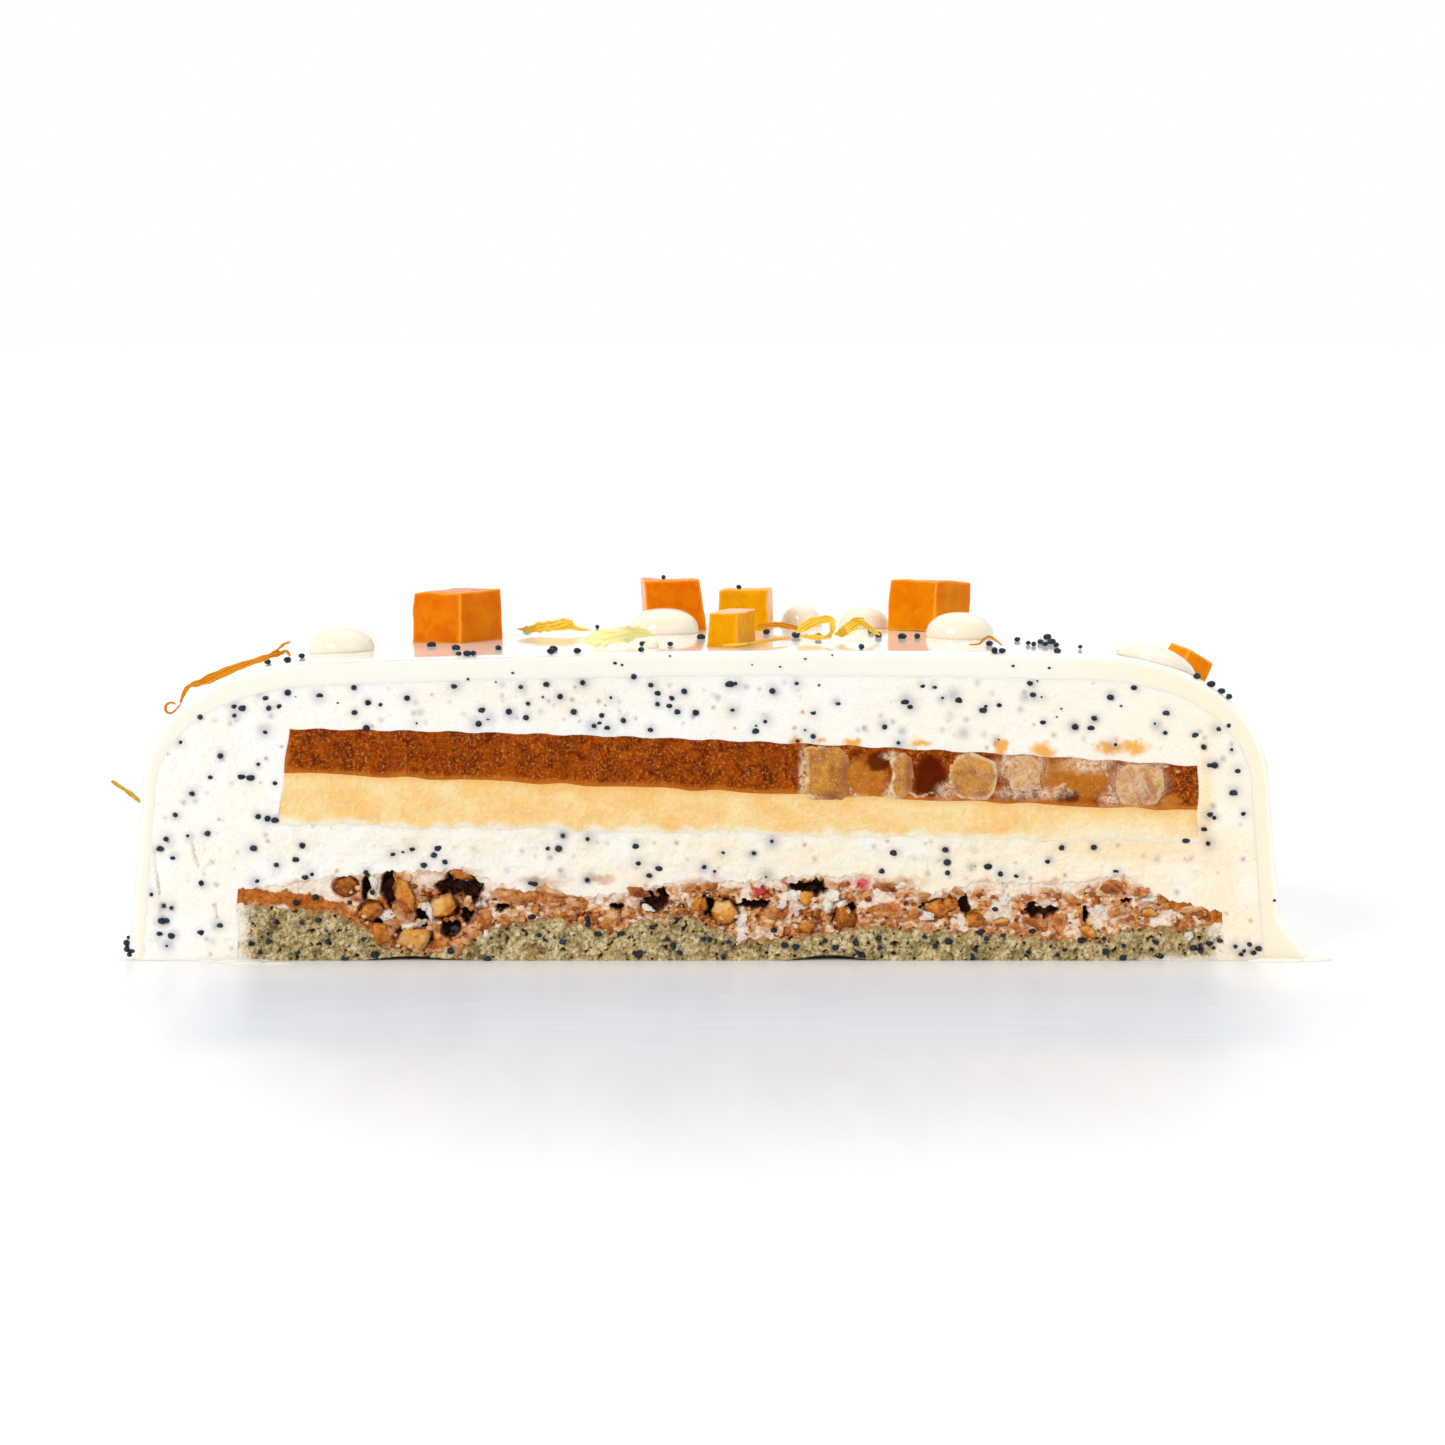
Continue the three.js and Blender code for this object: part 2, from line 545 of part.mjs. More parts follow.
const layers = new THREE.Group();
layers.add(piece('glaze', geometryOf(glazeSolid()), 0xfcfbea, 0.15));
layers.add(piece('mousse', geometryOf(mousseSolid()), 0xfaf2e3, 0.6));
layers.add(piece('apricot_jelly', geometryOf(jellySolid()), 0x91400f, 0.35));
layers.add(piece('apricot_cream', geometryOf(creamSolid()), 0xf8d391, 0.55));
layers.add(piece('nut_crunch', geometryOf(crunchSolid()), 0xbe8c61, 0.6));
layers.add(piece('sponge', geometryOf(spongeSolid()), 0xa08c66, 0.85));
fruitSolids(0).forEach((solid, i) => {
  layers.add(piece(`fruit_piece_${i + 1}`, geometryOf(solid), 0xc8883d, 0.35));
});

const toppings = new THREE.Group();
DICE.forEach((die, i) => {
  const mesh = piece(`jelly_die_${i + 1}`, dieGeometry(die.size), 0xee7d02, 0.2);
  toppings.add(setOnGlaze(mesh, die.x, die.y, die.turn));
});
DROPS.forEach((drop, i) => {
  const mesh = piece(`glaze_drop_${i + 1}`, dropGeometry(drop.radius, drop.height), 0xfbf1df, 0.1);
  toppings.add(setOnGlaze(mesh, drop.x, drop.y, 0));
});
PETALS.forEach((petal, i) => {
  toppings.add(piece(`petal_${i + 1}`, petalGeometry(petal), 0xef9c1e, 0.6));
});

const halfCake = new THREE.Group();
halfCake.add(layers, toppings);
halfCake.position.y = -ORIGIN_BEHIND_CUT;

export default halfCake;
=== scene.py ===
"""Looks of a poppy seed apricot cake: half a round mousse cake, its cut face to the camera.

Shapes are worked out in cake coordinates, in millimetres: x runs along the cut, y is how far a
place lies behind the cut and z is its height over the table. Each mesh is then made in metres.
"""
import logging
import math
from dataclasses import dataclass, field
from enum import Enum
from typing import Callable, Sequence

import bmesh
import bpy
import numpy as np
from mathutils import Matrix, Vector, kdtree, noise
from mathutils.geometry import delaunay_2d_cdt


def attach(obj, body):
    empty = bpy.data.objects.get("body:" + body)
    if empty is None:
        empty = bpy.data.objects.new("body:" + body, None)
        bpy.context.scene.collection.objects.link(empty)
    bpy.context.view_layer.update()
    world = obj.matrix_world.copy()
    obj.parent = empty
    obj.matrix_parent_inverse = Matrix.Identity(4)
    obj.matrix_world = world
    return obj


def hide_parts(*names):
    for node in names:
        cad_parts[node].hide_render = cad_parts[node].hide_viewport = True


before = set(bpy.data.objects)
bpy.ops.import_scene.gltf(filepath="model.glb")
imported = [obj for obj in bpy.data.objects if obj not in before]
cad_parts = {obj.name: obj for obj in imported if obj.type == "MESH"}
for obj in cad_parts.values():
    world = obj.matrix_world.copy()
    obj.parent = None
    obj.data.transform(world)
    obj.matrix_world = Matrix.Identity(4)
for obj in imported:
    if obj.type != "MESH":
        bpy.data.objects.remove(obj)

LOG = logging.getLogger("cake")
Array = np.ndarray
Rule = Callable[[Array, Array], Array]
Colour = tuple[int, int, int]
Shades = tuple[tuple[float, Colour], ...]
Pair = tuple[float, float]
Place = tuple[float, float, float]
Spot = tuple[float, float, float, float]
Mesh = bpy.types.Mesh
Piece = bpy.types.Object
Material = bpy.types.Material
Socket = bpy.types.NodeSocket
Draw = np.random.Generator

METRES = 0.001
ORIGIN_BEHIND_CUT = 45.0
FACE = 1e-4  # a point less than this behind the cut belongs to its face
TINY = 1e-9  # keeps a length from being 0 where it divides
PIXEL = 0.15693  # mm on the cut face for one pixel of the photograph
AXIS_PIXEL = 705.5
TABLE_PIXEL = 963.0
QUARTER = math.pi / 2
CIRCLE = 2 * math.pi


def on_cut(px: float, py: float) -> Pair:
    """Place on the cut face, x and z, of a point measured in the photograph."""
    return (px - AXIS_PIXEL) * PIXEL, (TABLE_PIXEL - py) * PIXEL


def spread_noise(points: Array, size: float | Sequence[float], seed: float, octaves: int = 1) -> Array:
    """Smooth noise at each point.

    Args:
        points: places, one row each.
        size: how wide its features are, in mm, in all directions or along each axis.
        seed: shifts the noise to another part of its field.
        octaves: how many finer layers are added.

    Returns:
        One value a point, from about -1 to 1.
    """
    places = points / np.asarray(size) + 13.7 * seed
    return np.array([noise.fractal(Vector(p), 1.0, 2.0, octaves) for p in places.tolist()])


def in_face(points: Array) -> Array:
    """True for each point on the cut face."""
    return points[:, 1] < FACE


def cut_height(rule: Rule, points: Array) -> Array:
    """Height of one of the cake's faces in the cut, at each point's x."""
    return rule(points[:, 0], np.zeros(len(points)))


def spun(points: Array, angle: float, first: int, second: int) -> Array:
    """The points turned by an angle in radians, in the plane of two axes given by number.

    Args:
        points: places, one row each.
        angle: radians from the first axis to the second.
        first: number of an axis.
        second: number of the other axis.

    Returns:
        The turned places.
    """
    turn = np.eye(3)
    turn[first, first] = turn[second, second] = math.cos(angle)
    turn[first, second], turn[second, first] = math.sin(angle), -math.sin(angle)
    return points @ turn


def round_ball(detail: int) -> tuple[Array, Array]:
    """Points and triangles of a ball of radius 1.

    Args:
        detail: how often its faces are divided.

    Returns:
        The points and the triangles.
    """
    work = bmesh.new()
    bmesh.ops.create_icosphere(work, subdivisions=detail, radius=1)
    points = np.array([v.co[:] for v in work.verts])
    triangles = np.array([[v.index for v in f.verts] for f in work.faces])
    work.free()
    return points, triangles


def search_tree(places: Array) -> kdtree.KDTree:
    """A tree that finds the nearest of some places.

    Args:
        places: the places, one row each.

    Returns:
        The tree.
    """
    tree = kdtree.KDTree(len(places))
    for number, place in enumerate(places.tolist()):
        tree.insert(place, number)
    tree.balance()
    return tree


def eased(value: Array, low: float, high: float) -> Array:
    """Smooth step from 0 at low to 1 at high."""
    share = np.clip((value - low) / (high - low), 0, 1)
    return share * share * (3 - 2 * share)


def resampled(line: Array, step: float) -> Array:
    """The same line with evenly spaced points.

    Args:
        line: places along it, one row each.
        step: wanted distance between points.

    Returns:
        The new places, its two ends kept.
    """
    lengths = np.concatenate([[0], np.cumsum(np.linalg.norm(np.diff(line, axis=0), axis=1))])
    count = max(2, round(lengths[-1] / step) + 1)
    along = np.linspace(0, lengths[-1], count)
    return np.stack([np.interp(along, lengths, line[:, k]) for k in range(line.shape[1])], axis=1)


def smooth_route(corners: Array, share: Array) -> Array:
    """Smooth curve through some places, at shares of its way from 0 to 1.

    Args:
        corners: the places, one row each.
        share: shares of the way, from 0 to 1.

    Returns:
        One row a share.
    """
    count = len(corners)
    padded = np.vstack([2 * corners[0] - corners[1], corners, 2 * corners[-1] - corners[-2]])
    place = np.clip(share * (count - 1), 0, count - 1 - TINY)
    part = place.astype(int)
    t = (place - part)[:, None]
    a, b, c, d = (padded[part + k] for k in range(4))
    return 0.5 * (2 * b + (c - a) * t + (2 * a - 5 * b + 4 * c - d) * t**2 + (3 * b - a - 3 * c + d) * t**3)


def spots(points: Array, places: Sequence[Sequence[float]], softness: float = 0.35) -> Array:
    """How far each point lies inside any of some soft-edged oval spots.

    Args:
        points: places with x and z in the first and last column.
        places: spots measured in the photograph, as centre x and y and half width and height.
        softness: how wide the edge is, as a share of the spot.

    Returns:
        0 outside all of them, 1 well inside one.
    """
    inside = np.zeros(len(points))
    for px, py, half_width, half_height in places:
        x, z = on_cut(px, py)
        across, up = (points[:, 0] - x) / (half_width * PIXEL), (points[:, -1] - z) / (half_height * PIXEL)
        away = np.hypot(across, up)
        inside = np.maximum(inside, 1 - eased(away, 1 - softness, 1 + softness))
    return inside


def strokes(points: Array, lines: Sequence[Sequence[float]], width: float) -> Array:
    """How near each point lies to thin drawn lines.

    Args:
        points: places with x and z in the first and last column.
        lines: lines measured in the photograph, as their corners' x and y in a row.
        width: how wide they are, in mm.

    Returns:
        1 on a line, 0 away from it.
    """
    near = np.zeros(len(points))
    flat = points[:, [0, -1]]
    for line in lines:
        corners = np.array([on_cut(*pair) for pair in zip(line[::2], line[1::2])])
        for start, end in zip(corners[:-1], corners[1:]):
            along = end - start
            share = np.clip((flat - start) @ along / max(along @ along, TINY), 0, 1)
            away = np.linalg.norm(flat - start - share[:, None] * along, axis=1)
            near = np.maximum(near, 1 - eased(away, 0.3 * width, width))
    return near


@dataclass
class Shards:
    """Irregular cells of a cut face, each with its own number."""

    own: Array
    border: Array
    offset: Array
    count: int

    @staticmethod
    def of(points: Array, size: float, seed: int, squash: float = 1.0, warp: float = 0.35) -> "Shards":
        """Divides the points among random cells.

        Args:
            points: places, x and z in the first and last column.
            size: about how wide a cell is, in mm.
            seed: draw for the cells.
            squash: how much flatter than wide they are.
            warp: how far their borders wander, as a share of the size.

        Returns:
            For each point its cell's number, how far the border is, and its place from the cell's middle.
        """
        draw = np.random.default_rng(seed)
        wander = np.stack([spread_noise(points, 1.3 * size, seed + k, 2) for k in (0.3, 0.7)], 1)
        flat = (points[:, [0, -1]] + warp * size * wander) * (1, squash)
        low, high = flat.min(0) - size, flat.max(0) + size
        wide, tall = [int(v) + 1 for v in (high - low) / size]
        x, z = np.meshgrid(np.arange(wide), np.arange(tall))
        middles = np.stack([x.ravel(), z.ravel()], 1) + draw.uniform(0, 1, (wide * tall, 2))
        tree = search_tree(np.column_stack([low + middles * size, np.zeros(len(middles))]))
        found = [tree.find_n((a, b, 0), 2) for a, b in flat.tolist()]
        own = np.array([near[0][1] for near in found])
        border = np.array([near[1][2] - near[0][2] for near in found]) / 2
        return Shards(own, border, flat - (low + middles[own] * size), len(middles))

    def relief(self, draw: Draw, step: float, slope: float) -> Array:
        """A height for each point: every cell is a tilted flat facet of its own.

        Args:
            draw: source of the tilts.
            step: how far a cell may lie in or out, in mm.
            slope: how steep it may be.

        Returns:
            One height a point.
        """
        level = draw.uniform(-step, step, self.count)
        tilt = draw.uniform(-slope, slope, (self.count, 2))
        return level[self.own] + (tilt[self.own] * self.offset).sum(1)


class Side(Enum):
    """The two ends of the cut, as the sign of x there."""

    LEFT = -1.0
    RIGHT = 1.0


@dataclass(frozen=True)
class CakeForm:
    """Outline of the cake and the heights of its layers."""

    base_radius: float = 91.0
    side_top_radius: float = 88.9
    side_top_height: float = 25.5
    shoulder_start: float = 58.0
    shoulder_power: float = 2.25
    height: float = 48.9
    crown_fall: float = 1.1
    crown_radius: float = 61.0
    lower_edge: float = 2.0
    lean: float = 0.008
    glaze_on_top: float = 3.9
    glaze_behind: float = 2.6
    glaze_left: float = 2.3
    glaze_right: float = 3.0
    line_depth: float = 14.0
    crunch_line: tuple[Pair, ...] = (
        (-74.3, 11.2), (-66, 12.2), (-58.9, 13.3), (-50.3, 14.1), (-39.8, 14.4), (-34.6, 13.0),
        (-29.1, 11.0), (-24.4, 12.2), (-20.8, 10.0), (-14, 10.7), (-6.2, 12.2), (6.2, 12.6),
        (16.9, 13.6), (24.4, 13.3), (32.2, 12.2), (35.5, 10.7), (44.2, 12.7), (54.5, 12.1),
        (65.8, 13.5), (72.6, 9.9), (81, 7.7),
    )
    sponge_line: tuple[Pair, ...] = (
        (-74.3, 9.0), (-64.6, 8.3), (-58, 7.8), (-54, 5.6), (-50.5, 1.9), (-44, 1.3),
        (-38, 2.6), (-34.5, 5.0), (-30.5, 6.0), (-23.9, 7.1), (-14.8, 4.4), (-8.4, 7.1),
        (-3.1, 7.5), (5.9, 3.4), (15.3, 3.8), (24.4, 5.5), (36.2, 5.0), (49.7, 4.2),
        (60.3, 3.2), (68.5, 5.3), (81, 5.8),
    )

    def shoulder_top(self) -> float:
        """Height of the outline where the shoulder begins."""
        return self.height - self.crown_fall * (self.shoulder_start / self.crown_radius) ** 2

    def outline_height(self, radius: Array, side_inset: float = 0, top_inset: float = 0) -> Array:
        """Height of the outer surface at a radius, for a body set in by the given amounts.

        Args:
            radius: distances from the cake's axis.
            side_inset: how far the body is set in at the side.
            top_inset: how far it is set in at the top.

        Returns:
            One height a radius.
        """
        radius = np.asarray(radius, float)
        crown = self.height - top_inset - self.crown_fall * (radius / self.crown_radius) ** 2
        reach = self.side_top_radius - side_inset - self.shoulder_start
        rise = self.shoulder_top() - top_inset - self.side_top_height
        across = np.clip((radius - self.shoulder_start) / reach, 0, 1)
        power = self.shoulder_power
        shoulder = self.side_top_height + rise * (1 - across**power) ** (1 / power)
        return np.where(radius <= self.shoulder_start, crown, shoulder)

    def leaning(self, x: Array, z: Array) -> Array:
        """Height after the cake's slight lean to the left."""
        return z * (1 + self.lean * x / self.height)

    def surface(self, x: Array, y: Array) -> Array:
        """Height of the glaze over a place."""
        return self.leaning(x, self.outline_height(np.hypot(x, y)))

    def normal(self, x: float, y: float) -> Vector:
        """Direction square to the glaze at a place.

        Args:
            x: place along the cut.
            y: place behind the cut.

        Returns:
            The direction, of length 1.
        """
        step = 0.5
        slope_x = float(self.surface(x + step, y) - self.surface(x - step, y)) / (2 * step)
        slope_y = float(self.surface(x, y + step) - self.surface(x, y - step)) / (2 * step)
        return Vector((-slope_x, -slope_y, 1)).normalized()

    def depth(self, points: Array) -> Array:
        """About how deep each point lies under the glaze's surface.

        Args:
            points: places, one row each.

        Returns:
            One depth a point, in mm.
        """
        radius = np.hypot(points[:, 0], points[:, 1])
        z = points[:, 2] / (1 + self.lean * points[:, 0] / self.height)
        reach = self.side_top_radius - self.shoulder_start
        rise = self.shoulder_top() - self.side_top_height
        across = np.clip((radius - self.shoulder_start) / reach, 0, None)
        up = np.clip((z - self.side_top_height) / rise, 0, None)
        power = self.shoulder_power
        level = (across**power + up**power) ** (1 / power)
        wide = reach * across**power + rise * up**power
        shoulder = (1 - level) * wide / np.maximum(across**power + up**power, TINY)
        crown = self.height - self.crown_fall * (radius / self.crown_radius) ** 2 - z
        slope = (self.base_radius - self.side_top_radius) / self.side_top_height
        side = self.base_radius - slope * z - radius
        outer = np.where(z <= self.side_top_height, side, shoulder)
        return np.where(radius <= self.shoulder_start, crown, outer)

    def profile(self, side_inset: float, top_inset: float, step: float) -> Array:
        """Outline from the base up to the start of the crown.

        Args:
            side_inset: how far it is set in at the side; 0 gives the round lower edge.
            top_inset: how far it is set in at the top.
            step: distance between points.

        Returns:
            Rows of radius and height.
        """
        low = self.base_radius - side_inset
        line = [(low, 0.0)]
        if side_inset == 0:
            turns = np.linspace(0, QUARTER, 7)
            edge = self.lower_edge
            line = [(low - edge + edge * math.sin(t), edge - edge * math.cos(t)) for t in turns]
        start = self.side_top_radius - side_inset
        reach = start - self.shoulder_start
        turns = np.linspace(0, QUARTER, 90)
        radius = self.shoulder_start + reach * np.cos(turns) ** (2 / self.shoulder_power)
        radius[-1] = self.shoulder_start
        heights = self.outline_height(radius, side_inset, top_inset)
        heights[-1] = self.shoulder_top() - top_inset
        shoulder = np.stack([radius, heights], axis=1)
        return resampled(np.vstack([line, [(start, self.side_top_height)], shoulder[1:]]), step)

    def jelly_top(self, x: Array, y: Array) -> Array:
        """Upper face of the brown jelly."""
        ragged = 0.12 * np.sin(0.9 * x + 0.3 * np.sin(2.3 * x)) * np.exp(-y / 3)
        return 34.98 - 0.0389 * x - 0.000193 * x * x + ragged

    def jelly_bottom(self, x: Array, y: Array) -> Array:
        """Face between the jelly and the cream."""
        return 27.0 - 0.042 * x + 0.16 * np.sin(0.5 * x + 1.2 * np.sin(0.27 * x)) * np.exp(-y / 3)

    def cream_bottom(self, x: Array, y: Array) -> Array:
        """Lower face of the cream, softly wavy at the cut."""
        wave = 0.32 * np.sin(0.31 * x) * np.sin(0.113 * x + 1) + 0.14 * np.sin(1.3 * x)
        return 20.2 - 0.02 * x + wave * np.exp(-y / 3)

    def faded_line(self, corners: Sequence, mean: float, x: Array, y: Array) -> Array:
        """A line of the cut that fades to a mean level behind it.

        Args:
            corners: the line's corners in the cut.
            mean: height that it fades to.
            x: places along the cut.
            y: how far they lie behind it.

        Returns:
            One height a place.
        """
        near = np.exp(-((y / self.line_depth) ** 2))
        wave = np.sin(0.21 * x + 0.4 * y) * 0.6 + np.sin(0.13 * x - 0.31 * y) * 0.5
        places, heights = zip(*corners)
        ragged = 0.22 * np.sin(2.1 * x + 1.7 * np.sin(0.8 * x)) + 0.15 * np.sin(4.7 * x + np.sin(1.9 * x))
        return near * (np.interp(x, places, heights) + ragged) + (1 - near) * (mean + wave)

    def crunch_top(self, x: Array, y: Array) -> Array:
        """Face between the mousse and the crunch."""
        return self.faded_line(self.crunch_line, 12.0, x, y)

    def sponge_top(self, x: Array, y: Array) -> Array:
        """Face between the crunch and the sponge."""
        return self.faded_line(self.sponge_line, 6.0, x, y)

    def sponge_bottom(self, x: Array, y: Array) -> Array:
        """Underside of the sponge, lifted off the table in two places at the cut."""
        lift = 1.0 * np.exp(-(((x - 19.5) / 4.6) ** 2)) + 0.75 * np.exp(-(((x + 46.5) / 5.5) ** 2))
        return lift * np.exp(-((y / 2.5) ** 2))

    def floor(self, x: Array, y: Array) -> Array:
        """The table."""
        return np.zeros_like(x)


FORM = CakeForm()


class Surface:
    """A mesh that grows part by part and is joined where the parts meet."""

    def __init__(self) -> None:
        """Starts with nothing."""
        self.points: list[Array] = []
        self.triangles: list[Array] = []
        self.count = 0

    def add(self, points: Array, triangles: Array) -> None:
        """Adds one part.

        Args:
            points: (n, 3) places in mm.
            triangles: (m, 3) rows of point numbers.
        """
        self.points.append(np.asarray(points, float))
        self.triangles.append(np.asarray(triangles, int) + self.count)
        self.count += len(points)

    def add_grid(self, grid: Array) -> None:
        """Adds a sheet given as rows of points.

        Args:
            grid: the points, one row of them after the other.
        """
        rows, columns = grid.shape[:2]
        index = np.arange(rows * columns).reshape(rows, columns)
        a, b = index[:-1, :-1].ravel(), index[:-1, 1:].ravel()
        c, d = index[1:, 1:].ravel(), index[1:, :-1].ravel()
        self.add(grid.reshape(-1, 3), np.concatenate([np.stack([a, b, c], 1), np.stack([a, c, d], 1)]))

    def add_cut_face(self, loops: Sequence[Array], spacing: float, seed: int) -> None:
        """Fills a flat region of the cut with small triangles.

        Args:
            loops: closed lines of x and z; the first goes round the region, the others are holes.
            spacing: distance between points.
            seed: draw for the points' places.
        """
        edges, starts = [], 0
        for loop in loops:
            numbers = np.arange(len(loop)) + starts
            edges += list(zip(numbers.tolist(), np.roll(numbers, -1).tolist()))
            starts += len(loop)
        border = np.vstack(loops)
        low, high = border.min(0), border.max(0)
        x, z = np.meshgrid(np.arange(low[0], high[0], spacing), np.arange(low[1], high[1], spacing * 0.866))
        x[1::2] += spacing / 2
        draw = np.random.default_rng(seed)
        inner = np.stack([x.ravel(), z.ravel()], 1) + draw.uniform(-0.22, 0.22, (x.size, 2)) * spacing
        inner = inner[self.free_of(inner, border, 0.55 * spacing)]
        places = [Vector(p) for p in np.vstack([border, inner]).tolist()]
        found, _, faces, _, _, _ = delaunay_2d_cdt(places, edges, [], 1, 1e-6)
        flat, triangles = np.array([tuple(v) for v in found]), np.array(faces)
        middles = flat[triangles].mean(1)
        for hole in loops[1:]:
            kept = ~self.inside(middles, hole)
            triangles, middles = triangles[kept], middles[kept]
        self.add(np.stack([flat[:, 0], np.zeros(len(flat)), flat[:, 1]], 1), triangles)

    @staticmethod
    def inside(points: Array, loop: Array) -> Array:
        """True for each point inside a closed line.

        Args:
            points: flat places, one row each.
            loop: the line's corners.

        Returns:
            One truth value a point.
        """
        within = np.zeros(len(points), bool)
        for (x0, z0), (x1, z1) in zip(loop.tolist(), np.roll(loop, -1, axis=0).tolist()):
            if z0 == z1:
                continue
            spans = (points[:, 1] > min(z0, z1)) & (points[:, 1] <= max(z0, z1))
            within ^= spans & (points[:, 0] < x0 + (points[:, 1] - z0) * (x1 - x0) / (z1 - z0))
        return within

    @staticmethod
    def free_of(points: Array, border: Array, room: float) -> Array:
        """True for each point with that much room to every border point.

        Args:
            points: flat places, one row each.
            border: the border's points.
            room: the distance kept, in mm.

        Returns:
            One truth value a point.
        """
        cells = {tuple(c) for c in np.floor(border / room).astype(int).tolist()}
        around = [(i, j) for i in (-1, 0, 1) for j in (-1, 0, 1)]
        own = np.floor(points / room).astype(int).tolist()
        return np.array([not any((a + i, b + j) in cells for i, j in around) for a, b in own])

    def mesh(self, name: str, weld: float = 0.004) -> Mesh:
        """Joins the parts into one mesh, still in mm of cake coordinates.

        Args:
            name: the mesh's name.
            weld: distance in mm within which points are joined; 0 for none.

        Returns:
            The mesh.
        """
        mesh = bpy.data.meshes.new(name)
        mesh.from_pydata(np.vstack(self.points).tolist(), [], np.vstack(self.triangles).tolist())
        if weld:
            work = bmesh.new()
            work.from_mesh(mesh)
            bmesh.ops.remove_doubles(work, verts=work.verts, dist=weld)
            bmesh.ops.dissolve_degenerate(work, edges=work.edges, dist=1e-4)
            loose = [v for v in work.verts if not v.link_faces]
            bmesh.ops.delete(work, geom=loose, context="VERTS")
            bmesh.ops.recalc_face_normals(work, faces=work.faces)
            work.to_mesh(mesh)
            work.free()
        return mesh


def mesh_points(mesh: Mesh) -> Array:
    """The points of a mesh, one row each.

    Args:
        mesh: any mesh.

    Returns:
        Its points.
    """
    flat = np.empty(len(mesh.vertices) * 3)
    mesh.vertices.foreach_get("co", flat)
    return flat.reshape(-1, 3)


def write_marks(mesh: Mesh, marks: dict[str, Array]) -> None:
    """Gives a mesh named values, one a point, for its finish to read."""
    for name, values in marks.items():
        mesh.attributes.new(name, "FLOAT", "POINT").data.foreach_set("value", values.astype(np.float32))


def finish_piece(
    mesh: Mesh,
    points: Array,
    material: Material,
    marks: dict[str, Array] | None = None,
    replaces: Sequence[str] = (),
    crease: float = 55,
) -> Piece:
    """Puts a mesh in the scene as a piece of the cake.

    Args:
        mesh: its mesh, which also names the piece.
        points: final places in mm of cake coordinates.
        material: its finish.
        marks: named values, one a point, that the finish reads.
        replaces: CAD nodes that it stands for.
        crease: angle in degrees from which an edge between two faces is sharp.

    Returns:
        The new object.
    """
    world = (np.maximum(points, (-np.inf, -np.inf, 0)) - (0, ORIGIN_BEHIND_CUT, 0)) * METRES
    mesh.vertices.foreach_set("co", world.ravel())
    mesh.polygons.foreach_set("use_smooth", np.ones(len(mesh.polygons), bool))
    write_marks(mesh, marks or {})
    mesh.materials.append(material)
    mesh.update()
    mesh.set_sharp_from_angle(angle=math.radians(crease))
    piece = bpy.data.objects.new(mesh.name, mesh)
    bpy.context.scene.collection.objects.link(piece)
    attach(piece, "root")
    if replaces:
        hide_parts(*replaces)
    LOG.info("%s: %d triangles", piece.name, len(mesh.polygons))
    return piece


def linear(colour: Colour) -> Spot:
    """A screen colour, 0 to 255, as the shader's linear colour."""
    shares = [c / 255 for c in colour]
    return (*[s / 12.92 if s <= 0.04045 else ((s + 0.055) / 1.055) ** 2.4 for s in shares], 1.0)


